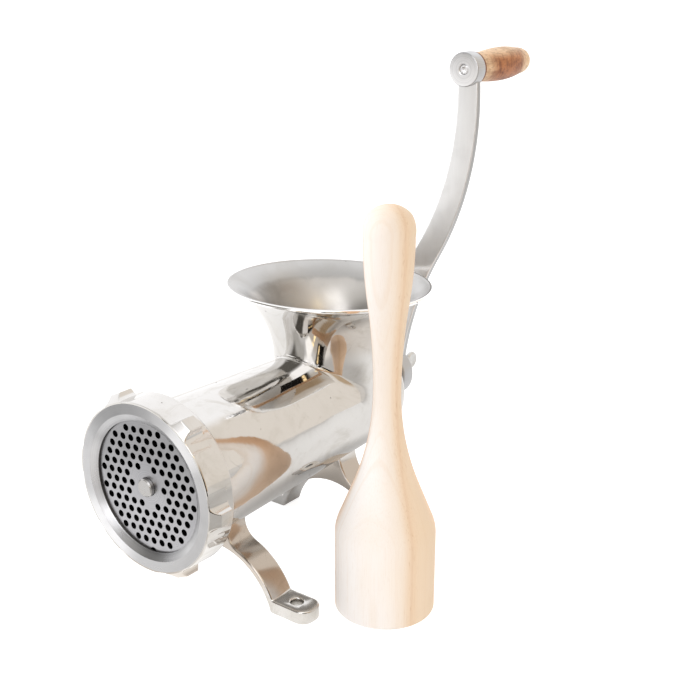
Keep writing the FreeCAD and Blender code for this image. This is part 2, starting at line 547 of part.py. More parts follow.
r, l = rail[1], rail[-1]
sk = new_sketch(crank, "ArmOutline", "XZ_Plane", (0, AX, -(d("arm_front_y") + d("arm_thk"))))
outline(sk, [(r[0][0], r[0][1], arc_radius(r[0], r[1], r[2])), (r[2][0], r[2][1], arc_radius(r[2], r[3], r[4])), (r[4][0], r[4][1]),
             (l[4][0], l[4][1], arc_radius(l[4], l[3], l[2])), (l[2][0], l[2][1], arc_radius(l[2], l[1], l[0])), (l[0][0], l[0][1])])
arm_pad = pad(crank, "ArmPad", sk, d("arm_thk"))
sides = edges_where(arm_pad.Shape, lambda e: e.Length > 60)
arm_edges = dress(crank, "ArmEdges", "PartDesign::Chamfer", arm_pad, sides, "Size", d("arm_edge"))
sk = new_sketch(crank, "HubOutline", "YZ_Plane", (0, AX, 0))
outline(sk, [(d("hub_front_y"), 0), (d("hub_rear_y"), 0), (d("hub_rear_y"), d("hub_r") - 1.2), (d("hub_rear_y") - 1.2, d("hub_r")),
             (d("hub_front_y") + 1.2, d("hub_r")), (d("hub_front_y"), d("hub_r") - 1.2)])
turned(crank, "HubTurned", sk, "H_Axis")
sk = new_sketch(crank, "BossOutline", "YZ_Plane", (0, AX + d("crank_z"), d("crank_x")))
outline(sk, [(d("crank_boss_front_y"), 0), (d("crank_boss_rear_y"), 0), (d("crank_boss_rear_y"), d("crank_boss_r") - 1.0),
             (d("crank_boss_rear_y") - 1.0, d("crank_boss_r")), (d("crank_boss_front_y") + 1.0, d("crank_boss_r")),
             (d("crank_boss_front_y"), d("crank_boss_r") - 1.0)])
turned(crank, "BossTurned", sk, "H_Axis")
sk = new_sketch(crank, "HubSquare", "XZ_Plane", (0, AX, -(d("hub_rear_y") + 1.0)))
square(sk, d("tang_side") + d("square_play") * 2.0)
pad(crank, "HubSquarePocket", sk, d("hub_rear_y") - d("hub_front_y") + 2.0, "PartDesign::Pocket", reverse=True)
crank.Label = "crank_arm_blank"
boss_z = AX + d("crank_z")
crank_arm = cut("CrankArmBored", crank, fuse("CrankBores", [
    rod("PinchBore", d("pinch_bore_r"), d("crank_boss_front_y") - 1.0, d("spindle_seat_y"), d("crank_x"), boss_z),
    rod("SpindleBore", d("spindle_bore_r"), d("spindle_seat_y"), d("crank_boss_rear_y") + 1.0, d("crank_x"), boss_z)]), "crank_arm")

washer_end = d("hub_rear_y") + 0.05 + d("washer_thk")
crank_washer = cut("CrankWasher", rod("CrankWasherOuter", d("washer_r"), d("hub_rear_y") + 0.05, washer_end),
                   rod("CrankWasherBore", d("thumb_shank_r") + 0.3, d("hub_rear_y") - 1.0, washer_end + 1.0), "crank_washer")

thumb = new_body("ThumbScrew", "thumb_screw")
collar_y = washer_end + 0.05
sk = new_sketch(thumb, "ThumbOutline", "YZ_Plane", (0, AX, 0))
outline(sk, [(d("thumb_shank_y"), 0), (collar_y + d("thumb_collar_len"), 0), (collar_y + d("thumb_collar_len"), d("thumb_collar_r") - 1.5),
             (collar_y + d("thumb_collar_len") - 1.5, d("thumb_collar_r")), (collar_y, d("thumb_collar_r")), (collar_y, d("thumb_shank_r")),
             (d("thumb_shank_y") + 1.0, d("thumb_shank_r")), (d("thumb_shank_y"), d("thumb_shank_r") - 1.0)])
turned(thumb, "ThumbTurned", sk, "H_Axis")
# spade head: a dished disc on a flat neck, upright as it stopped when tightened
sk = new_sketch(thumb, "NeckOutline", "XY_Plane", (0, 0, AX - d("spade_neck")))
thin = d("spade_half") - 0.2
neck_end = d("spade_y") - d("spade_r") + 2.0
outline(sk, [(-thin, collar_y + 2.0), (thin, collar_y + 2.0), (thin, neck_end), (-thin, neck_end)])
pad(thumb, "NeckPad", sk, d("spade_neck") * 2.0)
sk = new_sketch(thumb, "SpadeOutline", "XY_Plane", (0, d("spade_y"), AX))
rim = d("spade_r") - d("spade_half")
hollow = d("spade_half") - d("spade_dish")
bow = Dim((d("spade_dish").value ** 2 + rim.value ** 2) / (2 * d("spade_dish").value),
          "((dims.spade_dish * dims.spade_dish + %s * %s) / (2 * dims.spade_dish))" % (rim.text, rim.text))
outline(sk, [(-hollow, 0), (hollow, 0, -bow), (d("spade_half"), rim, d("spade_half")), (0, d("spade_r"), d("spade_half")), (-d("spade_half"), rim, -bow)])
turned(thumb, "SpadeTurned", sk, "H_Axis")

# ---- grip -----------------------------------------------------------------
fibre_end = d("crank_boss_rear_y") + d("fibre_thk")
grip_washer = cut("GripWasher", rod("FibreOuter", d("fibre_r"), d("crank_boss_rear_y"), fibre_end, d("crank_x"), boss_z),
                  rod("FibreBore", d("spindle_r") + 0.05, d("crank_boss_rear_y") - 1.0, fibre_end + 1.0, d("crank_x"), boss_z), "grip_washer")

spindle = new_body("GripSpindle", "grip_spindle")
sk = new_sketch(spindle, "SpindleOutline", "YZ_Plane", (0, boss_z, d("crank_x")))
outline(sk, [(d("spindle_seat_y") + 0.2, 0), (d("spindle_end_y"), 0), (d("spindle_end_y"), d("spindle_head_r") - 2.4, as_dim(4.2)),
             (d("spindle_head_y") + 1.0, d("spindle_head_r")), (d("spindle_head_y"), d("spindle_head_r")), (d("spindle_head_y"), d("spindle_r")),
             (d("spindle_seat_y") + 0.2, d("spindle_r"))])
turned(spindle, "SpindleTurned", sk, "H_Axis")

grip = new_body("Grip", "grip")
sk = new_sketch(grip, "GripOutline", "YZ_Plane", (0, boss_z, d("crank_x")))
hole = d("spindle_r") + 0.1
grip_y = fibre_end + d("grip_gap")
outline(sk, [(grip_y, hole), (d("spindle_head_y") - 0.3, hole), (d("spindle_head_y") - 0.3, d("spindle_head_r") + 0.3), (d("grip_end_y"), d("spindle_head_r") + 0.3),
             (d("grip_end_y"), d("grip_end_r"), d("grip_round_rad")), (d("grip_tail_y"), d("grip_tail_r"), d("grip_back_rad")),
             (d("grip_mid_y"), d("grip_mid_r"), d("grip_front_rad")), (grip_y + 1.2, d("grip_neck_r"), as_dim(1.7)), (grip_y, d("grip_neck_r") - 1.2)])
turned(grip, "GripTurned", sk, "H_Axis")

pinch = new_body("GripScrew", "grip_screw")
sk = new_sketch(pinch, "PinchOutline", "YZ_Plane", (0, boss_z, d("crank_x")))
outline(sk, [(d("pinch_y"), 0), (d("pinch_y") + d("pinch_len"), 0), (d("pinch_y") + d("pinch_len"), d("pinch_r") - 0.5),
             (d("pinch_y") + d("pinch_len") - 0.5, d("pinch_r")), (d("pinch_y") + 0.5, d("pinch_r")), (d("pinch_y"), d("pinch_r") - 0.5)])
turned(pinch, "PinchTurned", sk, "H_Axis")
sk = new_sketch(pinch, "PinchHex", "XZ_Plane", (d("crank_x"), boss_z, -(d("pinch_y") + 2.4)))
hexr = d("pinch_hex") * (1.0 / math.sqrt(3.0))
outline(sk, [(hexr * math.cos(math.radians(60 * k + 15)), hexr * math.sin(math.radians(60 * k + 15))) for k in range(6)])
pad(pinch, "PinchSocket", sk, as_dim(4.0), "PartDesign::Pocket", reverse=True)

# ---- pusher ---------------------------------------------------------------
pusher = new_body("MeatPusher", "meat_pusher")
sk = new_sketch(pusher, "PusherOutline", "XZ_Plane", (d("pusher_x"), 0, -d("pusher_y")))
outline(sk, [(0, 0), (d("pusher_r") - d("pusher_edge"), 0, d("pusher_edge")), (d("pusher_r"), d("pusher_edge")),
             (d("pusher_r"), d("pusher_body_z"), d("pusher_shoulder_rad")), (d("pusher_shoulder_r"), d("pusher_shoulder_z")),
             (d("pusher_cone_r"), d("pusher_cone_z"), -d("pusher_waist_rad")), (d("pusher_waist_r"), d("pusher_waist_z"), -d("pusher_hand_rad")),
             (d("pusher_hand_r"), d("pusher_hand_z"), d("pusher_top_rad")), (d("pusher_top_r"), d("pusher_top_z"), d("pusher_dome_rad")),
             (d("pusher_dome_r"), d("pusher_dome_z"), d("pusher_cap_rad")), (1.2, d("pusher_high")), (0, d("pusher_high"))])
turned(pusher, "PusherTurned", sk, "V_Axis")
doc.recompute()

# ---- tests and files ------------------------------------------------------
NODES = [casting, key_pin, bush, thrust, plate, ring, feed_screw, stud, knife, crank_arm, crank_washer, thumb, grip_washer, spindle, grip, pinch, pusher]
bad = [o.Name for o in doc.Objects if "Invalid" in o.State or "Error" in o.State]
for o in NODES:
    shape = o.Shape
    if shape.isNull() or not shape.isValid() or len(shape.Solids) != 1:
        bad.append("%s solids %d" % (o.Label, 0 if shape.isNull() else len(shape.Solids)))
if bad:
    raise RuntimeError("failed: " + ", ".join(bad))
for o in NODES:
    b = o.Shape.optimalBoundingBox(False, False)
    print("%-16s vol %9.0f  x %7.1f %7.1f  y %7.1f %7.1f  z %7.1f %7.1f" % (o.Label, o.Shape.Volume, b.XMin, b.XMax, b.YMin, b.YMax, b.ZMin, b.ZMax))
os.makedirs("parts", exist_ok=True)
for o in NODES:
    o.Shape.exportStep("parts/%s.step" % o.Label)
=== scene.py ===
import bmesh
import bpy
import math
import numpy as np
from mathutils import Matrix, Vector


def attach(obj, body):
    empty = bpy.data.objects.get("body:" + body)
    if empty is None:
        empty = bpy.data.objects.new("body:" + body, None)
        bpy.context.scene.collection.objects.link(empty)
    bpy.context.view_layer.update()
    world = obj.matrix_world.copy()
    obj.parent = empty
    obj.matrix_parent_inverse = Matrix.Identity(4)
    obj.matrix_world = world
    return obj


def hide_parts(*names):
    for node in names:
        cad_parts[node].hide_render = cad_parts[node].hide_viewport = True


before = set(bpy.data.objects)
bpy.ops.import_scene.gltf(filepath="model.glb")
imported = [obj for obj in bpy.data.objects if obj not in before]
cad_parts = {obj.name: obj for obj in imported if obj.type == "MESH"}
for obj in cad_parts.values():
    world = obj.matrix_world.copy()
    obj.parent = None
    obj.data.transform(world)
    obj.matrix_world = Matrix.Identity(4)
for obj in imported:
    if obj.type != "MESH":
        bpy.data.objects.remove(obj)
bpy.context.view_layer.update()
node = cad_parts
scene = bpy.context.scene
AX = 105.5  # height of the barrel's axis; lengths below are millimetres until a mesh is made


# ---------------------------------------------------------------- profiles
# corners (a, b) or (a, b, radius); the radius belongs to the run that leaves the corner,
# positive for an arc that turns left and negative for one that turns right
def trace(corners, fine=1.2):
    out = []
    for c, e in zip(corners[:-1], corners[1:]):
        p, q = np.array(c[:2], float), np.array(e[:2], float)
        out.append(p)
        if len(c) == 3:
            r = abs(c[2])
            chord = q - p
            size = math.hypot(chord[0], chord[1])
            left = np.array([-chord[1], chord[0]]) / size
            rise = math.sqrt(max(r * r - size * size / 4, 0.0))
            mid = (p + q) / 2 + left * math.copysign(rise, c[2])
            a0 = math.atan2(p[1] - mid[1], p[0] - mid[0])
            a1 = math.atan2(q[1] - mid[1], q[0] - mid[0])
            if c[2] > 0 and a1 < a0:
                a1 += 2 * math.pi
            if c[2] < 0 and a1 > a0:
                a1 -= 2 * math.pi
            k = max(3, int(abs(a1 - a0) * r / fine), int(abs(a1 - a0) / 0.09))
            for j in range(1, k):
                a = a0 + (a1 - a0) * j / k
                out.append(mid + r * np.array([math.cos(a), math.sin(a)]))
    out.append(np.array(corners[-1][:2], float))
    return np.array(out)


# breaks the sharp corners of a line with a small radius
def eased(pts, radius, closed=False, steps=4):
    out = []
    n = len(pts)
    for i in range(n):
        if not closed and i in (0, n - 1):
            out.append(pts[i])
            continue
        u = pts[i - 1] - pts[i]
        v = pts[(i + 1) % n] - pts[i]
        lu, lv = math.hypot(*u), math.hypot(*v)
        if lu < 1e-9 or lv < 1e-9:
            continue
        cosine = max(-1.0, min(1.0, float(u @ v) / (lu * lv)))
        turn = math.pi - math.acos(cosine)
        if turn < 0.3:
            out.append(pts[i])
            continue
        back = min(radius * math.tan(turn / 2), 0.45 * lu, 0.45 * lv)
        a, b = pts[i] + u / lu * back, pts[i] + v / lv * back
        for k in range(steps + 1):
            t = k / steps
            out.append((1 - t) ** 2 * a + 2 * t * (1 - t) * pts[i] + t * t * b)
    return np.array(out)


# divides the long runs of a line
def filled(pts, step, closed=False):
    out = []
    n = len(pts)
    for i in range(n if closed else n - 1):
        p, q = pts[i], pts[(i + 1) % n]
        k = max(1, int(math.ceil(math.hypot(*(q - p)) / step)))
        out += [p + (q - p) * j / k for j in range(k)]
    if not closed:
        out.append(pts[-1])
    return np.array(out)


# ---------------------------------------------------------------- meshes
def make(name, verts, faces):
    mesh = bpy.data.meshes.new(name)
    mesh.from_pydata([tuple(v) for v in np.asarray(verts, float) * 0.001], [], [tuple(int(k) for k in f) for f in faces])
    bm = bmesh.new()
    bm.from_mesh(mesh)
    bmesh.ops.recalc_face_normals(bm, faces=bm.faces)
    bm.to_mesh(mesh)
    bm.free()
    obj = bpy.data.objects.new(name, mesh)
    scene.collection.objects.link(obj)
    return obj


def along_y(x=0.0, z=AX):
    return lambda v: np.stack([x + v[:, 1], v[:, 0], z + v[:, 2]], 1)


def along_z(x, y, z=0.0):
    return lambda v: np.stack([x + v[:, 1], y + v[:, 2], z + v[:, 0]], 1)


# turns a line of (along, radius) about its axis
def lathe(name, pts, segs, place, closed=False):
    angle = np.arange(segs) * (2 * math.pi / segs)
    ca, sa = np.cos(angle), np.sin(angle)
    verts, rows, count = [], [], 0
    for u, r in pts:
        if r < 1e-6:
            verts.append(np.array([[u, 0.0, 0.0]]))
            rows.append([count] * segs)
            count += 1
        else:
            verts.append(np.stack([np.full(segs, u), r * ca, r * sa], 1))
            rows.append(list(range(count, count + segs)))
            count += segs
    faces = []
    pairs = list(zip(rows[:-1], rows[1:])) + ([(rows[-1], rows[0])] if closed else [])
    for a, b in pairs:
        pole_a, pole_b = a[0] == a[1], b[0] == b[1]
        for j in range(segs):
            k = (j + 1) % segs
            if pole_a and pole_b:
                continue
            if pole_a:
                faces.append((a[j], b[k], b[j]))
            elif pole_b:
                faces.append((a[j], a[k], b[j]))
            else:
                faces.append((a[j], a[k], b[k], b[j]))
    return make(name, place(np.concatenate(verts)), faces)


def boolean(base, tool, kind):
    m = base.modifiers.new("cut", "BOOLEAN")
    m.object = tool
    m.operation = kind
    m.solver = "MANIFOLD"
    dg = bpy.context.evaluated_depsgraph_get()
    mesh = bpy.data.meshes.new_from_object(base.evaluated_get(dg))
    base.modifiers.clear()
    old = base.data
    base.data = mesh
    bpy.data.meshes.remove(old)
    bpy.data.objects.remove(tool)
    return base


def smooth(obj, degrees=32.0):
    obj.data.shade_smooth()
    obj.data.set_sharp_from_angle(angle=math.radians(degrees))
    return obj


def points_of(mesh):
    co = np.zeros(len(mesh.vertices) * 3)
    mesh.vertices.foreach_get("co", co)
    return co.reshape(-1, 3) * 1000.0


# ---------------------------------------------------------------- shader building
class Mat:
    def __init__(self, name, tree=None):
        if tree is not None:
            self.t = tree
            return
        self.m = bpy.data.materials.new(name)
        self.m.use_nodes = True
        self.t = self.m.node_tree
        self.t.nodes.clear()
        self.out = self.t.nodes.new("ShaderNodeOutputMaterial")
        self.b = self.t.nodes.new("ShaderNodeBsdfPrincipled")
        self.t.links.new(self.b.outputs[0], self.out.inputs[0])
        self.coord = self.t.nodes.new("ShaderNodeTexCoord").outputs["Object"]

    def set(self, socket, value):
        if hasattr(value, "is_output") or isinstance(value, bpy.types.NodeSocket):
            self.t.links.new(value, socket)
        else:
            socket.default_value = value

    def math(self, op, a, b=0.0, c=None, clamp=False):
        n = self.t.nodes.new("ShaderNodeMath")
        n.operation = op
        n.use_clamp = clamp
        self.set(n.inputs[0], a)
        self.set(n.inputs[1], b)
        if c is not None:
            self.set(n.inputs[2], c)
        return n.outputs[0]

    def vec(self, op, a, b=(0, 0, 0)):
        n = self.t.nodes.new("ShaderNodeVectorMath")
        n.operation = op
        self.set(n.inputs[0], a)
        self.set(n.inputs[1], b)
        return n.outputs["Value"] if op in ("LENGTH", "DOT_PRODUCT", "DISTANCE") else n.outputs["Vector"]

    def noise(self, where, scale, detail=3.0, rough=0.5, distort=0.0):
        n = self.t.nodes.new("ShaderNodeTexNoise")
        self.set(n.inputs["Vector"], where)
        n.inputs["Scale"].default_value = scale
        n.inputs["Detail"].default_value = detail
        n.inputs["Roughness"].default_value = rough
        n.inputs["Distortion"].default_value = distort
        return n.outputs[0]

    def wander(self, where, scale):
        n = self.t.nodes.new("ShaderNodeTexNoise")
        self.set(n.inputs["Vector"], where)
        n.inputs["Scale"].default_value = scale
        n.inputs["Detail"].default_value = 2.0
        return n.outputs["Color"]

    def cells(self, where, scale, feature="F1", random=1.0):
        n = self.t.nodes.new("ShaderNodeTexVoronoi")
        n.feature = feature
        self.set(n.inputs["Vector"], where)
        n.inputs["Scale"].default_value = scale
        n.inputs["Randomness"].default_value = random
        return n

    def ramp(self, value, lo, hi, to_lo=0.0, to_hi=1.0, soft=True):
        n = self.t.nodes.new("ShaderNodeMapRange")
        n.interpolation_type = "SMOOTHSTEP" if soft else "LINEAR"
        n.clamp = True
        self.set(n.inputs[0], value)
        for k, x in enumerate((lo, hi, to_lo, to_hi), start=1):
            n.inputs[k].default_value = x
        return n.outputs[0]

    def mix(self, fac, a, b, kind="MIX"):
        n = self.t.nodes.new("ShaderNodeMix")
        n.data_type = "RGBA"
        n.blend_type = kind
        self.set(n.inputs[0], fac)
        self.set(n.inputs[6], a if not isinstance(a, tuple) else (*a, 1.0))
        self.set(n.inputs[7], b if not isinstance(b, tuple) else (*b, 1.0))
        return n.outputs[2]

    def scaled(self, where, s, shift=(0, 0, 0)):
        n = self.t.nodes.new("ShaderNodeMapping")
        self.set(n.inputs[0], where)
        n.inputs["Location"].default_value = shift
        n.inputs["Scale"].default_value = s
        return n.outputs[0]

    def split(self, where):
        n = self.t.nodes.new("ShaderNodeSeparateXYZ")
        self.set(n.inputs[0], where)
        return n.outputs

    def bump(self, height, depth, strength=1.0, painted_shade_under=None):
        n = self.t.nodes.new("ShaderNodeBump")
        n.inputs["Strength"].default_value = strength
        n.inputs["Distance"].default_value = depth
        self.set(n.inputs["Height"], height)
        if painted_shade_under is not None:
            self.set(n.inputs["Normal"], painted_shade_under)
        return n.outputs[0]

    def base(self, **values):
        names = {"color": "Base Color", "rough": "Roughness", "metal": "Metallic", "normal": "Normal", "aniso": "Anisotropic", "level": "Specular IOR Level",
                 "twist": "Anisotropic Rotation", "coat": "Coat Weight", "coat_rough": "Coat Roughness", "tangent": "Tangent"}
        for key, v in values.items():
            if isinstance(v, tuple) and key == "color":
                v = (*v, 1.0)
            self.set(self.b.inputs[names[key]], v)
        return self.m


# distance from the barrel's axis, in metres, read in the object's own space
def axis_distance(s, x=0.0, z=AX):
    moved = s.vec("SUBTRACT", s.coord, (x * 0.001, 0.0, z * 0.001))
    flat = s.vec("MULTIPLY", moved, (1.0, 0.0, 1.0))
    return s.vec("LENGTH", flat)


# mirror-polished stainless casting: slow waviness, haze, pits and a few hairlines, with a painted reflection on the leg
# shanks, painted shade on the right side of the neck and a painted highlight along the hopper's rim
def polished(name, tint=(0.660, 0.645, 0.625), wave=0.00035):
    s = Mat(name)
    swell = s.noise(s.coord, 17.0, 2.0, 0.45)
    ripple = s.noise(s.coord, 140.0, 2.0, 0.5)
    haze = s.noise(s.coord, 34.0, 4.0, 0.6, 0.6)
    pits = s.cells(s.coord, 105.0)
    chance = s.split(pits.outputs["Color"])[0]
    hole = s.math("MULTIPLY", s.ramp(pits.outputs["Distance"], 0.035, 0.085, 1.0, 0.0), s.math("GREATER_THAN", chance, 0.84))
    bent = s.vec("ADD", s.scaled(s.coord, (1.0, 0.55, 1.0)), s.vec("MULTIPLY", s.wander(s.coord, 60.0), (0.012, 0.012, 0.012)))
    edge = s.cells(bent, 30.0, "DISTANCE_TO_EDGE")
    patch = s.ramp(s.noise(s.coord, 22.0, 2.0), 0.54, 0.68)
    crack = s.math("MULTIPLY", s.ramp(edge.outputs["Distance"], 0.0, 0.014, 1.0, 0.0), patch)
    dirt = s.math("MAXIMUM", hole, s.math("MULTIPLY", crack, 0.15))
    cloudy = s.ramp(haze, 0.42, 0.75)
    tone = s.mix(s.math("MULTIPLY", cloudy, 0.50), tint, (tint[0] * 0.84, tint[1] * 0.825, tint[2] * 0.79))
    smudge = s.noise(s.scaled(s.coord, (1.0, 0.7, 1.0)), 30.0, 5.0, 0.68, 1.4)
    tone = s.mix(s.ramp(smudge, 0.50, 0.70, 0.0, 0.34), tone, (tint[0] * 0.62, tint[1] * 0.58, tint[2] * 0.50))
    # painted reflection: the leg shanks, between about 11 and 60 mm up, take a warmer, darker tone
    high = s.split(s.coord)[2]
    shank_painted_reflection = s.math("MULTIPLY", s.ramp(high, 0.011, 0.024), s.ramp(high, 0.052, 0.060, 1.0, 0.0))
    tone = s.mix(shank_painted_reflection, tone, (tint[0] * 0.78, tint[1] * 0.72, tint[2] * 0.66))
    rim = s.vec("DOT_PRODUCT", s.vec("SUBTRACT", s.coord, (0.0, 0.0502, AX * 0.001)), (0.0, math.sin(math.radians(2.4)), math.cos(math.radians(2.4))))
    # painted shade: the outside of the bell on its right side, between about 42 and 86 mm up its axis, is dulled
    neck_painted_shade = s.math("MULTIPLY", s.math("MULTIPLY", s.ramp(rim, 0.042, 0.056), s.ramp(rim, 0.078, 0.086, 1.0, 0.0)), s.ramp(s.split(s.coord)[0], 0.012, 0.028))
    tone = s.mix(neck_painted_shade, tone, s.mix(1.0, tone, (0.86, 0.82, 0.78), "MULTIPLY"))
    # painted highlight: a lighter band along the top of the hopper's rim
    tone = s.mix(s.ramp(rim, 0.0872, 0.0888), tone, (0.97, 0.96, 0.95))
    color = s.mix(dirt, tone, (0.10, 0.085, 0.07))
    low = s.ramp(s.split(s.coord)[2], 0.035, 0.075, 1.0, 0.0)
    rough = s.math("ADD", s.ramp(haze, 0.35, 0.8, 0.045, 0.125), s.math("MULTIPLY", dirt, 0.4))
    rough = s.math("ADD", rough, s.math("MULTIPLY", low, 0.10))
    n1 = s.bump(swell, wave * 6.0, 0.50)
    n2 = s.bump(ripple, wave * 0.30, 0.28, n1)
    n3 = s.bump(s.math("SUBTRACT", 1.0, hole), 0.0004, 0.8, n2)
    return s.base(color=color, rough=rough, metal=1.0, normal=n3)


# turned faces: fine circular tool marks about the barrel's axis; given a factor other than 1 for the lower part,
# painted light brightens everything lower than about 140 mm up, fully below 80 mm, and painted shade darkens the faces
# that do not face along the axis, such as the walls of holes
def turned(name, tint, rough=0.30, x=0.0, z=AX, pitch=2400.0, depth=0.00006, painted_light_below=1.0):
    s = Mat(name)
    r = axis_distance(s, x, z)
    ring = s.t.nodes.new("ShaderNodeTexNoise")
    ring.noise_dimensions = "1D"
    s.set(ring.inputs["W"], r)
    ring.inputs["Scale"].default_value = pitch
    ring.inputs["Detail"].default_value = 3.0
    lines = ring.outputs[0]
    blotch = s.noise(s.coord, 60.0, 3.0, 0.6)
    fine = s.noise(s.coord, 900.0, 2.0)
    color = s.mix(s.ramp(lines, 0.3, 0.7), tuple(c * 0.90 for c in tint), tuple(min(1.0, c * 1.06) for c in tint))
    color = s.mix(s.math("MULTIPLY", s.ramp(blotch, 0.45, 0.75), 0.35), color, tuple(c * 0.86 for c in tint))
    if painted_light_below != 1.0:
        # painted light: brighter toward the bottom
        color = s.mix(1.0, color, s.mix(s.ramp(s.split(s.coord)[2], 0.080, 0.140), (painted_light_below, painted_light_below, painted_light_below * 1.01), (1.0, 1.0, 1.0)), "MULTIPLY")
        # painted shade: faces that do not face along the axis, such as hole walls, darkened toward black
        facing = s.math("ABSOLUTE", s.split(s.t.nodes["Texture Coordinate"].outputs["Normal"])[1])
        color = s.mix(s.ramp(facing, 0.4, 0.9, 0.75, 0.0), color, (0.0, 0.0, 0.0))
    rr = s.math("ADD", s.ramp(blotch, 0.3, 0.8, rough - 0.05, rough + 0.08), s.math("MULTIPLY", fine, 0.05))
    n1 = s.bump(lines, depth, 0.5)
    n2 = s.bump(fine, 0.00003, 0.35, n1)
    return s.base(color=color, rough=rr, metal=1.0, normal=n2)


# front of the ring: turned flat and chamfer, with a painted sheen of lighter and darker lobes by angle about the axis,
# and painted shade toward the inner edge of the chamfer
def ring_face(name):
    s = Mat(name)
    flat = s.vec("MULTIPLY", s.vec("SUBTRACT", s.coord, (0.0, 0.0, AX * 0.001)), (1.0, 0.0, 1.0))
    r = s.vec("LENGTH", flat)
    unit = s.vec("NORMALIZE", flat)

    def painted_sheen_lobe(degrees, wide, size):
        a = math.radians(degrees)
        return s.ramp(s.vec("DOT_PRODUCT", unit, (math.cos(a), 0.0, math.sin(a))), math.cos(math.radians(wide)), 1.0, 0.0, size)

    ring = s.t.nodes.new("ShaderNodeTexNoise")
    ring.noise_dimensions = "1D"
    s.set(ring.inputs["W"], r)
    ring.inputs["Scale"].default_value = 2100.0
    ring.inputs["Detail"].default_value = 3.0
    lines = ring.outputs[0]
    blotch = s.noise(s.coord, 60.0, 3.0, 0.6)
    # painted sheen and shade: the tone is set by angle about the axis, one set of lobes on the flat and one on the
    # chamfer
    flat_tone = s.math("ADD", s.math("ADD", 0.54, painted_sheen_lobe(112.0, 48.0, -0.25)), s.math("ADD", painted_sheen_lobe(45.0, 22.0, 0.22), painted_sheen_lobe(228.0, 36.0, 0.30)))
    edge_tone = s.math("ADD", s.math("ADD", 0.54, painted_sheen_lobe(172.0, 26.0, 0.18)), s.math("ADD", painted_sheen_lobe(236.0, 32.0, 0.36), painted_sheen_lobe(292.0, 30.0, -0.14)))
    # painted shade toward the inner edge of the chamfer
    edge_tone = s.math("SUBTRACT", edge_tone, s.ramp(r, 0.0452, 0.0480, 0.10, 0.0))
    pick = s.ramp(r, 0.0496, 0.0502)
    tone = s.math("ADD", s.math("MULTIPLY", flat_tone, pick), s.math("MULTIPLY", edge_tone, s.math("SUBTRACT", 1.0, pick)))
    tone = s.math("MULTIPLY", tone, s.math("MULTIPLY", s.ramp(lines, 0.3, 0.7, 0.95, 1.04), s.ramp(blotch, 0.4, 0.8, 1.0, 0.92)))
    color = s.mix(tone, (0.0, 0.0, 0.0), (1.0, 1.0, 1.015))
    n1 = s.bump(lines, 0.00004, 0.35)
    return s.base(color=color, rough=s.ramp(blotch, 0.3, 0.8, 0.27, 0.36), metal=1.0, normal=n1)


# satin steel brushed along one direction
def brushed(name, tint, stretch=(900.0, 900.0, 14.0), rough=0.32, depth=0.00005):
    s = Mat(name)
    grain = s.noise(s.scaled(s.coord, stretch), 1.0, 4.0, 0.65)
    cloud = s.noise(s.coord, 45.0, 4.0, 0.6, 0.4)
    spots = s.cells(s.coord, 180.0)
    chance = s.split(spots.outputs["Color"])[1]
    speck = s.math("MULTIPLY", s.ramp(spots.outputs["Distance"], 0.04, 0.10, 1.0, 0.0), s.math("GREATER_THAN", chance, 0.86))
    color = s.mix(s.ramp(grain, 0.3, 0.72), tuple(c * 0.88 for c in tint), tuple(min(1.0, c * 1.07) for c in tint))
    color = s.mix(s.math("MULTIPLY", s.ramp(cloud, 0.5, 0.8), 0.4), color, tuple(c * 0.82 for c in tint))
    color = s.mix(s.math("MULTIPLY", speck, 0.55), color, tuple(c * 0.5 for c in tint))
    rr = s.math("ADD", s.ramp(cloud, 0.3, 0.75, rough - 0.06, rough + 0.10), s.math("MULTIPLY", grain, 0.06))
    n1 = s.bump(grain, depth, 0.55)
    n2 = s.bump(cloud, 0.0006, 0.08, n1)
    return s.base(color=color, rough=rr, metal=1.0, normal=n2)


# crank arm: satin steel, with painted light that brightens it toward the hub and painted shade on the narrow sides and
# the back
def arm_steel(name):
    s = Mat(name)
    grain = s.noise(s.scaled(s.coord, (260.0, 900.0, 22.0)), 1.0, 4.0, 0.65)
    cloud = s.noise(s.coord, 45.0, 4.0, 0.6, 0.4)
    facing = s.split(s.t.nodes["Texture Coordinate"].outputs["Normal"])[1]
    # painted shade on the narrow sides and the back, painted light lower down toward the hub
    flat = s.ramp(s.math("ABSOLUTE", facing), 0.25, 0.85, 0.46, 1.0)
    back_painted_shade = s.ramp(facing, 0.2, 0.8, 1.0, 0.58)
    tone = s.math("MULTIPLY", s.ramp(s.split(s.coord)[2], 0.16, 0.30, 1.0, 0.90), s.math("MULTIPLY", flat, back_painted_shade))
    tone = s.math("MULTIPLY", tone, s.math("MULTIPLY", s.ramp(grain, 0.3, 0.72, 0.955, 1.0), s.ramp(cloud, 0.5, 0.8, 1.0, 0.94)))
    color = s.mix(tone, (0.0, 0.0, 0.0), (1.0, 1.0, 1.0))
    rough = s.math("ADD", s.ramp(cloud, 0.3, 0.75, 0.28, 0.42), s.math("MULTIPLY", grain, 0.06))
    n1 = s.bump(grain, 0.00003, 0.4)
    n2 = s.bump(cloud, 0.0006, 0.08, n1)
    return s.base(color=color, rough=rough, metal=1.0, normal=n2)
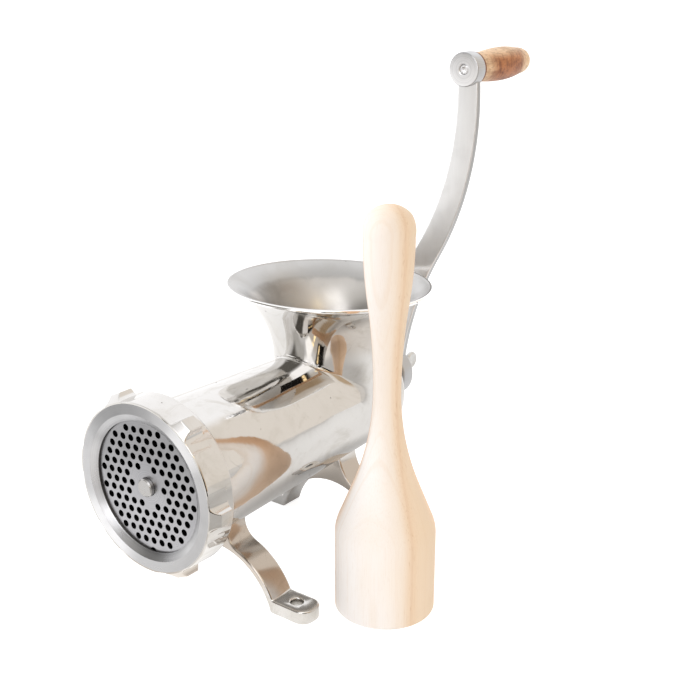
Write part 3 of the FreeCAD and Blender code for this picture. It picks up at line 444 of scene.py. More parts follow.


# pale maple, grain along Z, with a tan heartwood band down one side, painted light and shade across the piece, and a
# brown back that is heartwood colour darkened as painted shade
def maple(name, x, y):
    s = Mat(name)
    p = s.vec("SUBTRACT", s.coord, (x * 0.001, y * 0.001, 0.0))
    px, py, pz = s.split(p)
    bend = s.math("MULTIPLY", s.math("SUBTRACT", s.noise(s.scaled(p, (14.0, 14.0, 3.2)), 1.0, 2.0), 0.5), 0.016)
    across = s.math("ADD", s.math("ADD", s.math("MULTIPLY", px, 0.794), s.math("MULTIPLY", py, 0.608)), bend)
    deep = s.math("ADD", s.math("MULTIPLY", px, -0.608), s.math("MULTIPLY", py, 0.794))
    q = s.math("ADD", across, s.math("MULTIPLY", deep, 0.48))
    band = s.math("MULTIPLY", s.ramp(q, -0.0045, 0.0025), s.ramp(q, 0.0035, 0.0110, 1.0, 0.0))
    edge_line = s.math("MULTIPLY", s.ramp(q, 0.0015, 0.0030), s.ramp(q, 0.0032, 0.0052, 1.0, 0.0))
    # year lines are thin shells about a pith outside the piece
    pith = s.vec("LENGTH", s.vec("MULTIPLY", s.vec("SUBTRACT", p, (0.030, -0.085, 0.0)), (1.0, 1.0, 0.0)))
    year = s.math("ADD", pith, s.math("MULTIPLY", bend, 1.1))
    rings = s.t.nodes.new("ShaderNodeTexNoise")
    rings.noise_dimensions = "1D"
    s.set(rings.inputs["W"], year)
    rings.inputs["Scale"].default_value = 330.0
    rings.inputs["Detail"].default_value = 2.0
    line = s.ramp(rings.outputs[0], 0.55, 0.72)
    fibre = s.noise(s.scaled(p, (1500.0, 1500.0, 42.0)), 1.0, 3.0, 0.6)
    fleck = s.ramp(s.noise(s.scaled(p, (1150.0, 1150.0, 170.0)), 1.0, 1.0), 0.60, 0.74)
    cloud = s.noise(s.scaled(p, (40.0, 40.0, 12.0)), 1.0, 3.0)
    # painted light and shade: the pale wood is lighter on the side before the tan band and turns a darker tan from the
    # band on
    side = s.ramp(q, -0.020, 0.012)
    pale = s.mix(s.ramp(pz, 0.10, 0.24), (0.845, 0.81, 0.785), (0.80, 0.745, 0.700))
    pale = s.mix(side, pale, (0.74, 0.590, 0.435))
    pale = s.mix(s.math("MULTIPLY", s.ramp(cloud, 0.35, 0.75), 0.28), pale, (0.80, 0.67, 0.54))
    # heartwood colour darkened as painted shade: the back, facing away along deep, turns peach low down and brown on
    # the handle, up to the knob
    heartwood_and_shade = s.mix(s.ramp(pz, 0.085, 0.150), (0.86, 0.62, 0.44), (0.64, 0.37, 0.20))
    turn = s.math("DIVIDE", deep, s.vec("LENGTH", s.vec("MULTIPLY", p, (1.0, 1.0, 0.0))))
    back = s.math("MULTIPLY", s.ramp(turn, -0.36, 0.10), s.ramp(pz, 0.252, 0.270, 1.0, 0.0))
    pale = s.mix(s.math("MULTIPLY", back, 0.88), pale, heartwood_and_shade)
    color = s.mix(s.math("MULTIPLY", line, 0.13), pale, (0.70, 0.51, 0.33))
    color = s.mix(s.math("MULTIPLY", band, 0.34), color, (0.70, 0.48, 0.29))
    color = s.mix(s.math("MULTIPLY", edge_line, 0.16), color, (0.56, 0.32, 0.16))
    color = s.mix(s.math("MULTIPLY", s.ramp(fibre, 0.45, 0.75), s.math("ADD", 0.09, s.math("MULTIPLY", band, 0.16))), color, (0.60, 0.41, 0.25))
    color = s.mix(s.math("MULTIPLY", fleck, s.math("ADD", 0.06, s.math("MULTIPLY", band, 0.24))), color, (0.50, 0.30, 0.15))
    rough = s.ramp(fibre, 0.2, 0.8, 0.50, 0.66)
    n1 = s.bump(fibre, 0.00010, 0.35)
    return s.base(color=color, rough=rough, normal=n1, level=0.35)


# darker turned grip, grain along Y, mottled brown, with painted highlights on the near end, the tip and the top, and
# painted shade underneath
def beech(name, x, z):
    s = Mat(name)
    p = s.vec("SUBTRACT", s.coord, (x * 0.001, 0.0, z * 0.001))
    blot = s.noise(s.scaled(p, (150.0, 70.0, 150.0)), 1.0, 3.0, 0.62, 0.5)
    fleck = s.ramp(s.noise(s.scaled(p, (620.0, 210.0, 620.0)), 1.0, 2.0), 0.52, 0.68)
    fibre = s.noise(s.scaled(p, (1400.0, 60.0, 1400.0)), 1.0, 3.0, 0.6)
    px, py, pz = s.split(p)
    far = s.ramp(py, 0.142, 0.200)
    # painted shade underneath
    painted_shade_under = s.ramp(pz, -0.004, 0.010, 1.0, 0.0)
    dark = s.math("MULTIPLY", s.ramp(blot, 0.42, 0.70), s.math("ADD", 0.35, s.math("MULTIPLY", s.math("MAXIMUM", far, painted_shade_under), 0.65)))
    color = s.mix(dark, (0.52, 0.250, 0.098), (0.30, 0.118, 0.040))
    color = s.mix(s.math("MULTIPLY", fleck, 0.50), color, (0.20, 0.080, 0.030))
    color = s.mix(s.math("MULTIPLY", s.ramp(fibre, 0.45, 0.75), 0.28), color, (0.62, 0.36, 0.17))
    streak = s.ramp(s.noise(s.scaled(p, (140.0, 480.0, 140.0)), 1.0, 2.0, 0.5, 0.4), 0.48, 0.62)
    # painted highlight on the near end, the tip and the top
    painted_highlight = s.math("MAXIMUM", s.ramp(py, 0.143, 0.161, 0.90, 0.0), s.ramp(py, 0.186, 0.205, 0.0, 1.15))
    painted_highlight = s.math("MAXIMUM", painted_highlight, s.ramp(pz, 0.0040, 0.0112, 0.0, 0.92))
    plain = s.math("SUBTRACT", 1.0, painted_highlight, clamp=True)
    color = s.mix(s.math("MULTIPLY", streak, s.math("ADD", s.math("MULTIPLY", plain, 0.48), 0.06)), color, (0.17, 0.062, 0.020))
    # painted light and shade: the highlight brightens the wood, everywhere else it is darkened, most underneath
    color = s.mix(1.0, color, s.mix(painted_highlight, s.mix(painted_shade_under, (0.88, 0.70, 0.53), (0.76, 0.56, 0.42)), (1.42, 2.10, 3.30)), "MULTIPLY")
    n1 = s.bump(fibre, 0.00012, 0.4)
    n2 = s.bump(fleck, 0.00010, -0.35, n1)
    return s.base(color=color, rough=s.ramp(blot, 0.3, 0.8, 0.36, 0.52), normal=n2, level=0.4)


def fibre_board(name):
    s = Mat(name)
    grain = s.noise(s.coord, 700.0, 4.0, 0.7)
    ply = s.noise(s.scaled(s.coord, (80.0, 4200.0, 80.0)), 1.0, 2.0)
    color = s.mix(s.ramp(grain, 0.3, 0.75), (0.15, 0.055, 0.028), (0.27, 0.115, 0.055))
    color = s.mix(s.math("MULTIPLY", s.ramp(ply, 0.45, 0.7), 0.4), color, (0.10, 0.04, 0.022))
    return s.base(color=color, rough=s.ramp(grain, 0.2, 0.8, 0.55, 0.75), normal=s.bump(grain, 0.0001, 0.5))


# inside of the hopper: satin, with faint circles about the bell's own axis, and painted shade and painted reflection
# set by angle and height: a dark arc deep down, a warm tint and a lighter flare at the top
def bell_satin(name, tint):
    s = Mat(name)
    rel = s.vec("SUBTRACT", s.coord, (0.0, 0.0502, AX * 0.001))
    lean = math.radians(2.4)
    px = s.split(rel)[0]
    q = s.vec("DOT_PRODUCT", rel, (0.0, math.cos(lean), -math.sin(lean)))
    t = s.vec("DOT_PRODUCT", rel, (0.0, math.sin(lean), math.cos(lean)))
    r = s.math("SQRT", s.math("ADD", s.math("MULTIPLY", px, px), s.math("MULTIPLY", q, q)))
    ring = s.t.nodes.new("ShaderNodeTexNoise")
    ring.noise_dimensions = "1D"
    s.set(ring.inputs["W"], s.math("ADD", r, t))
    ring.inputs["Scale"].default_value = 1500.0
    ring.inputs["Detail"].default_value = 2.0
    lines = ring.outputs[0]
    cloud = s.noise(s.coord, 42.0, 4.0, 0.6, 0.5)
    spots = s.cells(s.coord, 62.0)
    chance = s.split(spots.outputs["Color"])[0]
    pit = s.math("MULTIPLY", s.ramp(spots.outputs["Distance"], 0.035, 0.07, 1.0, 0.0), s.math("GREATER_THAN", chance, 0.87))
    # painted shade and painted reflection: the tone is set by angle about the bell's axis and by height
    around = s.math("MODULO", s.math("ADD", s.math("MULTIPLY", s.math("ARCTAN2", q, px), 180.0 / math.pi), 360.0), 360.0)
    deep = s.math("MINIMUM", s.ramp(around, 98.0, 126.0, 0.66, 0.56), s.ramp(around, 138.0, 178.0, 0.58, 0.25, False))
    deep = s.math("MAXIMUM", deep, s.ramp(around, 186.0, 215.0, 0.0, 0.55))
    left = s.math("MULTIPLY", s.ramp(around, 165.0, 182.0), s.ramp(around, 215.0, 240.0, 1.0, 0.0))
    flare = s.math("SUBTRACT", s.ramp(t, 0.081, 0.0905, 0.44, 0.53), s.math("MULTIPLY", left, 0.03))
    flare = s.math("MULTIPLY", flare, s.ramp(s.math("ABSOLUTE", s.math("SUBTRACT", t, 0.0812)), 0.0, 0.0022, 0.84, 1.0))
    wobble = s.math("MULTIPLY", s.math("SUBTRACT", cloud, 0.5), 0.008)
    step = s.ramp(s.math("ADD", t, wobble), 0.0785, 0.0835)
    level = s.math("ADD", s.math("MULTIPLY", flare, step), s.math("MULTIPLY", deep, s.math("SUBTRACT", 1.0, step)))
    # painted reflection: a warm tint where the painted tone is low
    painted_warm_reflection = s.math("MULTIPLY", s.ramp(level, 0.30, 0.85, 1.0, 0.35), s.math("SUBTRACT", 1.0, s.math("MULTIPLY", step, 0.8)))
    color = s.mix(level, (0.0, 0.0, 0.0), s.mix(painted_warm_reflection, (1.0, 0.992, 0.98), (1.0, 0.94, 0.87)))
    color = s.mix(s.math("MULTIPLY", s.ramp(cloud, 0.42, 0.75), 0.4), color, (tint[0] * 0.80, tint[1] * 0.79, tint[2] * 0.77))
    color = s.mix(s.math("MULTIPLY", lines, 0.12), color, (tint[0] * 0.7, tint[1] * 0.7, tint[2] * 0.7))
    color = s.mix(pit, color, (0.09, 0.08, 0.07))
    rough = s.math("ADD", s.ramp(cloud, 0.3, 0.8, 0.30, 0.38), s.math("MULTIPLY", pit, 0.3))
    n1 = s.bump(lines, 0.00004, 0.35)
    n2 = s.bump(cloud, 0.0012, 0.10, n1)
    return s.base(color=color, rough=rough, metal=1.0, normal=n2)


STEEL = polished("polished_steel")
STEEL_RING = polished("polished_ring", (0.660, 0.645, 0.625), 0.0003)
HOPPER = bell_satin("hopper_satin", (0.52, 0.508, 0.49))
FACE = ring_face("ring_face")
LIP = turned("lip_shade", (0.13, 0.125, 0.12), 0.45)
# the plate: painted light on its lower part, painted shade on the walls of its holes
PLATE = turned("plate_satin", (0.31, 0.31, 0.32), 0.30, pitch=1500.0, depth=0.00003, painted_light_below=1.58)
BORE = turned("bore_satin", (0.50, 0.49, 0.47), 0.35)
BRIGHT = turned("bright_turned", (0.50, 0.49, 0.48), 0.24, pitch=3000.0)
# painted shade: the hub and the boss rim take a darker copy of the crank's steel
HUB = turned("hub_satin", (0.52, 0.52, 0.525), 0.33, depth=0.00002)
ARM = arm_steel("arm_satin")
BOSS = turned("boss_face", (0.88, 0.88, 0.89), 0.33, 64.0, AX + 243.3, 900.0, 0.00002)
# painted light: the grip screw's tint is raised to offset the shade of its recess
SOCKET = turned("socket_steel", (0.96, 0.96, 0.98), 0.34, 64.0, AX + 243.3, 900.0, 0.00002)
CAST = brushed("cast_satin", (0.64, 0.635, 0.62), (300.0, 300.0, 300.0), 0.33)
SCREW = brushed("screw_satin", (0.50, 0.49, 0.47), (220.0, 220.0, 220.0), 0.30)
BRONZE = turned("bush_bronze", (0.60, 0.42, 0.20), 0.35)
FIBRE = fibre_board("fibre")
MAPLE = maple("pusher_maple", 103.0, -17.5)
BEECH = beech("grip_beech", 64.0, AX + 243.3)


def dress(obj, *mats):
    obj.data.materials.clear()
    for m in mats:
        obj.data.materials.append(m)


# ---------------------------------------------------------------- body casting
HY, LEAN, TOP = 50.2, math.radians(2.4), 91.9
SL, CL = math.sin(LEAN), math.cos(LEAN)


def on_bell(v):
    t, a, b = v[:, 0], v[:, 1], v[:, 2]
    return np.stack([a, HY + t * SL + b * CL, AX + t * CL - b * SL], 1)


def bell_coords(p):
    y, z = p[:, 1] - HY, p[:, 2] - AX
    return y * SL + z * CL, np.hypot(p[:, 0], y * CL - z * SL)


SLOPE = (41.8 - 48.3) / (89.0 + 116.5)


def barrel_gap(p):
    rho = np.hypot(p[:, 0], p[:, 2] - AX)
    cone = (rho - (48.3 + SLOPE * (p[:, 1] + 116.5))) / math.sqrt(1 + SLOPE * SLOPE)
    back = np.hypot(p[:, 1] - 89.0, np.maximum(rho - 28.8, 0.0)) - 13.0
    return np.where(p[:, 1] <= 89.0, cone, back)


def bell_gap(p):
    t, s = bell_coords(p)
    return np.where(t <= TOP - 58.0, s - 40.6, 65.0 - np.hypot(s - 105.6, t - (TOP - 58.0)))


def throat_gap(p):
    t, s = bell_coords(p)
    return np.where(t <= TOP - 58.0, 36.0 - s, np.hypot(s - 99.4, t - (TOP - 58.0)) - 63.4)


ROUND = 3.2


def skin_gap(p):
    a, b = barrel_gap(p), bell_gap(p)
    u, v = np.maximum(ROUND - a, 0.0), np.maximum(ROUND - b, 0.0)
    return np.maximum(ROUND, np.minimum(a, b)) - np.hypot(u, v)


def slope_of(f, p, h=0.02):
    g = np.zeros_like(p)
    for k in range(3):
        e = np.zeros(3)
        e[k] = h
        g[:, k] = (f(p + e) - f(p - e)) / (2 * h)
    return g


def leg_pair(name, y_mid, half, web_z, web_x, arch_z, rad):
    line = trace([(78.6, 0), (78.6, 10.0), (49.4, 10.0, 54.5), (web_x, arch_z, -rad), (half, web_z), (half, 65.5), (-half, 65.5), (-half, web_z, -rad),
                  (-web_x, arch_z, 54.5), (-49.4, 10.0), (-78.6, 10.0), (-78.6, 0), (-47.5, 0, -49.1), (47.5, 0), (78.6, 0)], 1.5)[:-1]
    bm = bmesh.new()
    ring = [bm.verts.new((x, y_mid - 10.5, z)) for x, z in line]
    face = bm.faces.new(ring)
    grown = bmesh.ops.extrude_face_region(bm, geom=[face])
    bmesh.ops.translate(bm, vec=(0, 21.0, 0), verts=[g for g in grown["geom"] if isinstance(g, bmesh.types.BMVert)])
    bmesh.ops.recalc_face_normals(bm, faces=bm.faces)
    tips = [e for e in bm.edges if all(abs(v.co.x) > 78.5 for v in e.verts) and abs(e.verts[0].co.z - e.verts[1].co.z) > 5]
    bmesh.ops.bevel(bm, geom=tips, offset=9.0, offset_type="OFFSET", segments=12, profile=0.5, affect="EDGES")
    hard = [e for e in bm.edges if e.is_manifold and e.calc_face_angle(0.0) > 0.55]
    bmesh.ops.bevel(bm, geom=hard, offset=2.1, offset_type="OFFSET", segments=6, profile=0.5, affect="EDGES", clamp_overlap=True)
    bmesh.ops.scale(bm, vec=(0.001, 0.001, 0.001), verts=bm.verts)
    mesh = bpy.data.meshes.new(name)
    bm.to_mesh(mesh)
    bm.free()
    obj = bpy.data.objects.new(name, mesh)
    scene.collection.objects.link(obj)
    return obj


def thread_line(y_from, count, crest, root, step):
    out = []
    for k in range(count):
        y = y_from + step * k
        sign = math.copysign(1.0, step)
        out += [(y, crest), (y + sign * 1.2, root), (y + sign * 1.8, root), (y + sign * 3.0, crest)]
    return out


barrel_line = [(123.5, 0), (123.5, 17.8), (122.3, 19.0), (106.0, 19.0, -4.0), (102.0, 23.0), (102.0, 28.8, 13.0), (89.0, 41.8), (-116.5, 48.3), (-121.5, 54.0)]
barrel_line += thread_line(-123.5, 2, 54.0, 52.7, -4.0) + [(-131.0, 54.0), (-132.0, 53.0), (-132.0, 0)]
casting = lathe("casting_shell", filled(eased(trace(barrel_line), 0.5), 1.5), 300, along_y())
bell_line = trace([(0, 0), (40.6, 0), (40.6, TOP - 58.0, -65.0), (71.6, TOP - 3.2), (74.8, TOP - 2.85, 1.5), (74.8, TOP), (0, TOP)])
bell = lathe("bell", filled(eased(bell_line, 0.25), 1.5)[:, ::-1], 300, on_bell)
casting = boolean(casting, bell, "UNION")
casting = boolean(casting, leg_pair("front_legs", -64.0, 8.5, 51.6, 19.0, 37.9, 15.5), "UNION")
casting = boolean(casting, leg_pair("rear_legs", 64.0, 9.5, 58.0, 26.0, 34.7, 34.0), "UNION")
bore_line = trace([(-137, 0), (-137, 49.9), (-126.3, 49.9), (-126.3, 42.8), (86.0, 36.3, -9.0), (95.0, 27.3), (95.0, 13.0), (128.5, 13.0), (128.5, 0)])
casting = boolean(casting, lathe("bore", filled(bore_line, 2.0), 240, along_y()), "DIFFERENCE")
throat_line = trace([(0, 0), (36.0, 0), (36.0, TOP - 58.0, -63.4), (73.2, TOP - 0.5), (74.0, TOP + 0.3), (76.0, TOP + 6.0), (0, TOP + 6.0)])
casting = boolean(casting, lathe("throat", filled(throat_line, 1.5)[:, ::-1], 300, on_bell), "DIFFERENCE")
for sx in (1, -1):
    for sy in (1, -1):
        hole = lathe("hole", np.array([(-2, 0), (-2, 5.0), (0.5, 4.5), (9.0, 4.5), (9.5, 4.72), (9.8, 5.1), (10.02, 5.7), (12, 5.9), (12, 0)], float), 64, along_z(63.0 * sx, 64.0 * sy))
        casting = boolean(casting, hole, "DIFFERENCE")
key_x, key_z = 49.5 * math.sin(math.radians(2.7)), AX - 49.5 * math.cos(math.radians(2.7))
casting = boolean(casting, lathe("seat", np.array([(-134, 0), (-134, 2.02), (-121.0, 2.02), (-121.0, 0)], float), 32, along_y(key_x, key_z)), "DIFFERENCE")

# a finer mesh along the join of barrel and neck, then the rounding of that join
bm = bmesh.new()
bm.from_mesh(casting.data)
bm.verts.ensure_lookup_table()
co = np.array([tuple(v.co) for v in bm.verts]) * 1000.0
a, b = barrel_gap(co), bell_gap(co)
band = (a > -0.06) & (b > -0.06) & (a < 5.0) & (b < 5.0) & ((np.abs(a) < 0.06) | (np.abs(b) < 0.06)) & (bell_coords(co)[0] > 3.0) & (bell_coords(co)[0] < 70.0)
bmesh.ops.triangulate(bm, faces=[f for f in bm.faces if any(band[v.index] for v in f.verts)])
bmesh.ops.subdivide_edges(bm, edges=[e for e in bm.edges if band[e.verts[0].index] and band[e.verts[1].index] and e.calc_length() > 0.0003], cuts=2, use_grid_fill=True)
bmesh.ops.triangulate(bm, faces=[f for f in bm.faces if len(f.verts) > 4])
bm.to_mesh(casting.data)
bm.free()

mesh = casting.data
p = points_of(mesh)
t, s_ = bell_coords(p)
a, b = barrel_gap(p), bell_gap(p)
near = ((np.abs(a) < 0.05) & (b < ROUND) & (b > -0.05)) | ((np.abs(b) < 0.05) & (a < ROUND) & (a > -0.05))
near &= (t > 3.0) & (t < 82.0)
q = p[near].copy()
for _ in range(12):
    g = slope_of(skin_gap, q)
    q -= skin_gap(q)[:, None] * g / np.maximum((g * g).sum(1), 1e-6)[:, None]
p[near] = q
mesh.vertices.foreach_set("co", (p * 0.001).ravel())
mesh.update()
smooth(casting, 34.0)

# exact normals on the turned skins, so reflections run clean across the joins
n_loop = len(mesh.loops)
loop_vert = np.zeros(n_loop, int)
mesh.loops.foreach_get("vertex_index", loop_vert)
n_poly = len(mesh.polygons)
start, total = np.zeros(n_poly, int), np.zeros(n_poly, int)
mesh.polygons.foreach_get("loop_start", start)
mesh.polygons.foreach_get("loop_total", total)
face_n = np.zeros(n_poly * 3)
mesh.polygons.foreach_get("normal", face_n)
face_n = face_n.reshape(-1, 3)
face_c = np.zeros(n_poly * 3)
mesh.polygons.foreach_get("center", face_c)
face_c = face_c.reshape(-1, 3) * 1000.0
of_face = np.repeat(np.arange(n_poly), total)
corner = np.zeros(n_loop * 3)
mesh.corner_normals.foreach_get("vector", corner)
corner = corner.reshape(-1, 3)
for f, tol in ((skin_gap, 0.06), (throat_gap, 0.06)):
    gap = np.abs(f(p))
    g = slope_of(f, p)
    g /= np.maximum(np.linalg.norm(g, axis=1), 1e-9)[:, None]
    want = g[loop_vert]
    agree = (want * face_n[of_face]).sum(1)
    tt, ss = bell_coords(p)
    fine = (gap[loop_vert] < tol) & ((agree > 0.93) | near[loop_vert]) & (tt[loop_vert] < 88.2)
    corner[fine] = want[fine]
mesh.normals_split_custom_set([tuple(c) for c in corner])
inside_t = (np.abs(throat_gap(face_c)) < 0.5) & (slope_of(throat_gap, face_c) * face_n).sum(1).__gt__(0.5)
rho = np.hypot(face_c[:, 0], face_c[:, 2] - AX)
bore_r = 42.8 + (36.3 - 42.8) / (86.0 + 126.3) * (face_c[:, 1] + 126.3)
in_bore = (rho < bore_r + 0.3) & (face_c[:, 1] < 95.2) & (face_c[:, 1] > -126.5) & (bell_coords(face_c)[0] < 44.0)
slots = np.where(inside_t, 1, np.where(in_bore, 2, 0)).astype(np.int32)
dress(casting, STEEL, HOPPER, BORE)
mesh.polygons.foreach_set("material_index", slots)
casting.name = "casting"
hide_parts("body_casting")
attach(casting, "frame")


# ---------------------------------------------------------------- ring nut
def soft_min(a, b, k):
    h = np.clip(0.5 + 0.5 * (b - a) / k, 0.0, 1.0)
    return b * (1 - h) + a * h - k * h * (1 - h)


def soft_max(a, b, k):
    return -soft_min(-a, -b, k)


def ring_mesh():
    segs = 1080
    theta = np.arange(segs) * (2 * math.pi / segs)
    outer = [(-118.0, 57.6), (-118.15, 58.05), (-118.5, 58.4), (-119.0, 58.6)]
    ys = np.concatenate([np.linspace(-119.0, -124.2, 9)[1:], np.linspace(-124.2, -125.3, 16)[1:], np.linspace(-125.3, -133.8, 20)[1:], np.linspace(-133.8, -139.4, 30)[1:]])
    outer += [(y, 58.6 - 0.6 * (-119.0 - y) / 20.4) for y in ys]
    outer += [(-139.85, 57.85), (-140.15, 57.5), (-140.3, 57.05)]
    rest = eased(np.array([(-140.3, 57.0), (-140.3, 50.0), (-137.55, 44.9), (-136.05, 44.9), (-136.05, 55.6)]
                          + [c for c in thread_line(-133.05, 4, 55.6, 54.35, 4.0)] + [(-118.0, 55.6), (-118.0, 57.2)], float), 0.25)
    rest = filled(rest, 2.5)
    away = (theta[:, None] - np.radians(115.0 + 60.0 * np.arange(6))[None, :] + math.pi) % (2 * math.pi) - math.pi
    away = np.abs(away).min(1)
    x = 60.0 * np.tan(np.minimum(away, 0.6))
    flank = 65.334 - np.sqrt(np.maximum(90.25 - (x - 13.608) ** 2, 0.0))
    flank = np.where(x < 4.4, 63.0 + (4.4 - x) * 3.9, np.where(x > 13.6, 55.8, flank))
    lump = soft_min(flank, np.full_like(flank, 63.0), 0.9) / np.cos(np.minimum(away, 0.3))
    rows, finish_and_shade = [], []
    for y, r in outer:
        finish_and_shade.append(0)
        lean = 58.4 + (y + 139.9) * (63.6 - 58.4) / 5.3
        back = 63.6 - (y + 124.9) * 8.0
        ear = soft_min(soft_min(lump, np.full_like(lump, lean), 0.9), np.full_like(lump, back), 0.9)
        rr = soft_max(ear, np.full_like(ear, r), 0.9) - 0.0
        rr = np.where(ear < r - 0.9, r, rr)
        rows.append((np.full(segs, y), rr))
    for k, (y, r) in enumerate(rest):
        y2, r2 = rest[(k + 1) % len(rest)]
        slope = abs(r2 - r) > 0.5 * abs(y2 - y)
        # slot 1 is the face with its painted sheen, slot 3 the inner lip wall, dark as painted shade
        finish_and_shade.append(1 if max(y, y2) < -137.3 and slope else 3 if max(r, r2) < 45.2 and min(y, y2) < -136.1 else 2)
        rows.append((np.full(segs, y), np.full(segs, r)))
    finish_and_shade[-1] = 0
    verts = np.concatenate([np.stack([r * np.cos(theta), y, AX + r * np.sin(theta)], 1) for y, r in rows])
    faces = []
    n = len(rows)
    for i in range(n):
        a, b = i * segs, ((i + 1) % n) * segs
        for j in range(segs):
            k = (j + 1) % segs
            faces.append((a + j, a + k, b + k, b + j))
    return make("ring", verts, faces), np.repeat(np.array(finish_and_shade, np.int32), segs)


ring, ring_finish_and_shade = ring_mesh()
smooth(ring, 38.0)
dress(ring, STEEL_RING, FACE, BORE, LIP)
ring.data.polygons.foreach_set("material_index", ring_finish_and_shade)
ring.name = "ring"
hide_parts("ring_nut")
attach(ring, "ring")

# ---------------------------------------------------------------- crank
CX, CZ = 64.0, AX + 243.3


def crank_line():
    pts = []
    x = z = 0.0
    head = math.radians(6.0)
    steps = 400
    for length, turn in ((112.0, 24.0), (144.2, -36.0)):
        pts.append((x, z, head))
        for k in range(steps):
            h2 = head + math.radians(turn) / steps
            x += math.sin((head + h2) / 2) * length / steps
            z += math.cos((head + h2) / 2) * length / steps
            head = h2
            if k == steps // 2 - 1:
                pts.append((x, z, head))
    pts.append((x, z, head))
    return pts


def arc_through(a, b, c, n):
    (ax, ay), (bx, by), (cx, cy) = a, b, c
    dd = 2 * (ax * (by - cy) + bx * (cy - ay) + cx * (ay - by))
    ux = ((ax * ax + ay * ay) * (by - cy) + (bx * bx + by * by) * (cy - ay) + (cx * cx + cy * cy) * (ay - by)) / dd
    uy = ((ax * ax + ay * ay) * (cx - bx) + (bx * bx + by * by) * (ax - cx) + (cx * cx + cy * cy) * (bx - ax)) / dd
    r = math.hypot(ax - ux, ay - uy)
    a0, a1 = math.atan2(ay - uy, ax - ux), math.atan2(cy - uy, cx - ux)
    turn = (a1 - a0 + math.pi) % (2 * math.pi) - math.pi
    return [(ux + r * math.cos(a0 + turn * k / n), uy + r * math.sin(a0 + turn * k / n)) for k in range(n)]


def arm_mesh():
    stations = crank_line()
    rails = {}
    for side in (1, -1):
        pts = []
        for k, (x, z, head) in enumerate(stations):
            half = 11.4 + (8.2 - 11.4) * k / 4.0
            pts.append((x + side * half * math.cos(head), z - side * half * math.sin(head)))
        rails[side] = np.array(arc_through(pts[0], pts[1], pts[2], 60) + arc_through(pts[2], pts[3], pts[4], 60) + [pts[4]])
    y0, y1, r = 131.4, 136.4, 1.3
    verts, rows = [], 0
    for right, left in zip(rails[1], rails[-1]):
        wide = right - left
        size = math.hypot(*wide)
        unit = wide / size
        loop = []
        for cy, cs, a0 in ((y0 + r, size - r, -90.0), (y1 - r, size - r, 0.0), (y1 - r, r, 90.0), (y0 + r, r, 180.0)):
            for k in range(6):
                a = math.radians(a0 + 90.0 * k / 5)
                s = cs + r * math.cos(a)
                y = cy + r * math.sin(a)
                loop.append((left[0] + unit[0] * s, y, AX + left[1] + unit[1] * s))
        verts.append(loop)
    m = len(verts[0])
    n = len(verts)
    flat = [v for loop in verts for v in loop]
    faces = [(i * m + j, i * m + (j + 1) % m, (i + 1) * m + (j + 1) % m, (i + 1) * m + j) for i in range(n - 1) for j in range(m)]
    faces += [tuple(range(m)), tuple((n - 1) * m + j for j in reversed(range(m)))]
    return make("crank_shape", flat, faces)


crank = arm_mesh()
hub_line = eased(np.array([(124.0, 0), (124.0, 20.3), (136.4, 20.3), (136.4, 0)], float), 1.5)
crank = boolean(crank, lathe("hub", hub_line, 160, along_y()), "UNION")
boss_line = eased(np.array([(126.8, 0), (126.8, 12.25), (137.3, 12.25), (137.3, 0)], float), 1.1)
crank = boolean(crank, lathe("boss", boss_line, 128, along_y(CX, CZ)), "UNION")
square = make("square", [(sx * 7.1, y, AX + sz * 7.1) for y in (120.0, 140.0) for sx, sz in ((-1, -1), (1, -1), (1, 1), (-1, 1))],
              [(0, 1, 2, 3), (7, 6, 5, 4), (0, 4, 5, 1), (1, 5, 6, 2), (2, 6, 7, 3), (3, 7, 4, 0)])
crank = boolean(crank, square, "DIFFERENCE")
crank = boolean(crank, lathe("socket", np.array([(125.0, 0), (125.0, 4.3), (126.8, 4.3), (127.4, 3.6), (131.8, 3.6), (131.8, 3.3), (139.0, 3.3), (139.0, 0)], float), 64, along_y(CX, CZ)), "DIFFERENCE")
smooth(crank, 34.0)
dress(crank, ARM, HUB, BOSS)
# the hub and the boss rim take the darker copy of the steel, as painted shade
for poly in crank.data.polygons:
    c = poly.center * 1000.0
    at_hub = math.hypot(c.x, c.z - AX) < 20.8 and c.y < 131.6 or math.hypot(c.x, c.z - AX) < 20.4 and c.y > 136.0
    at_boss = 11.0 < math.hypot(c.x - CX, c.z - CZ) < 12.6 and abs(poly.normal.y) < 0.9
    at_end = math.hypot(c.x - CX, c.z - CZ) < 12.0 and c.y < 128.4
    poly.material_index = 1 if at_hub or at_boss else 2 if at_end else 0
crank.name = "crank"
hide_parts("crank_arm")
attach(crank, "drive")

# ---------------------------------------------------------------- thumb screw
thumb_line = eased(np.array([(112.0, 0), (112.0, 4.2), (113.0, 5.0), (138.5, 5.0), (138.5, 8.0), (145.5, 8.0), (145.5, 0)], float), 0.9)
thumb = lathe("thumb_shape", thumb_line, 96, along_y())
neck_loop = eased(np.array([(-1.9, 140.5), (1.9, 140.5), (1.9, 157.2), (-1.9, 157.2)], float), 0.5, True)
k = len(neck_loop)
neck = make("neck", [(x, y, AX + side * 4.4) for side in (-1, 1) for x, y in neck_loop],
            [tuple(range(k)), tuple(k + i for i in reversed(range(k)))] + [(i, (i + 1) % k, k + (i + 1) % k, k + i) for i in range(k)])
thumb = boolean(thumb, neck, "UNION")
spade_line = trace([(-1.4, 0), (-2.1, 5.1, -2.1), (0, 7.2, -2.1), (2.1, 5.1), (1.4, 0)], 0.25)
dish = [(h, r) for r in np.linspace(0, 5.1, 14) for h in [18.93 + 1.4 - math.sqrt(18.93 ** 2 - r * r)]]
spade_line = np.array([(-h, r) for h, r in dish[:-1]] + [tuple(q) for q in spade_line[1:-1]] + [(h, r) for h, r in reversed(dish[:-1])])
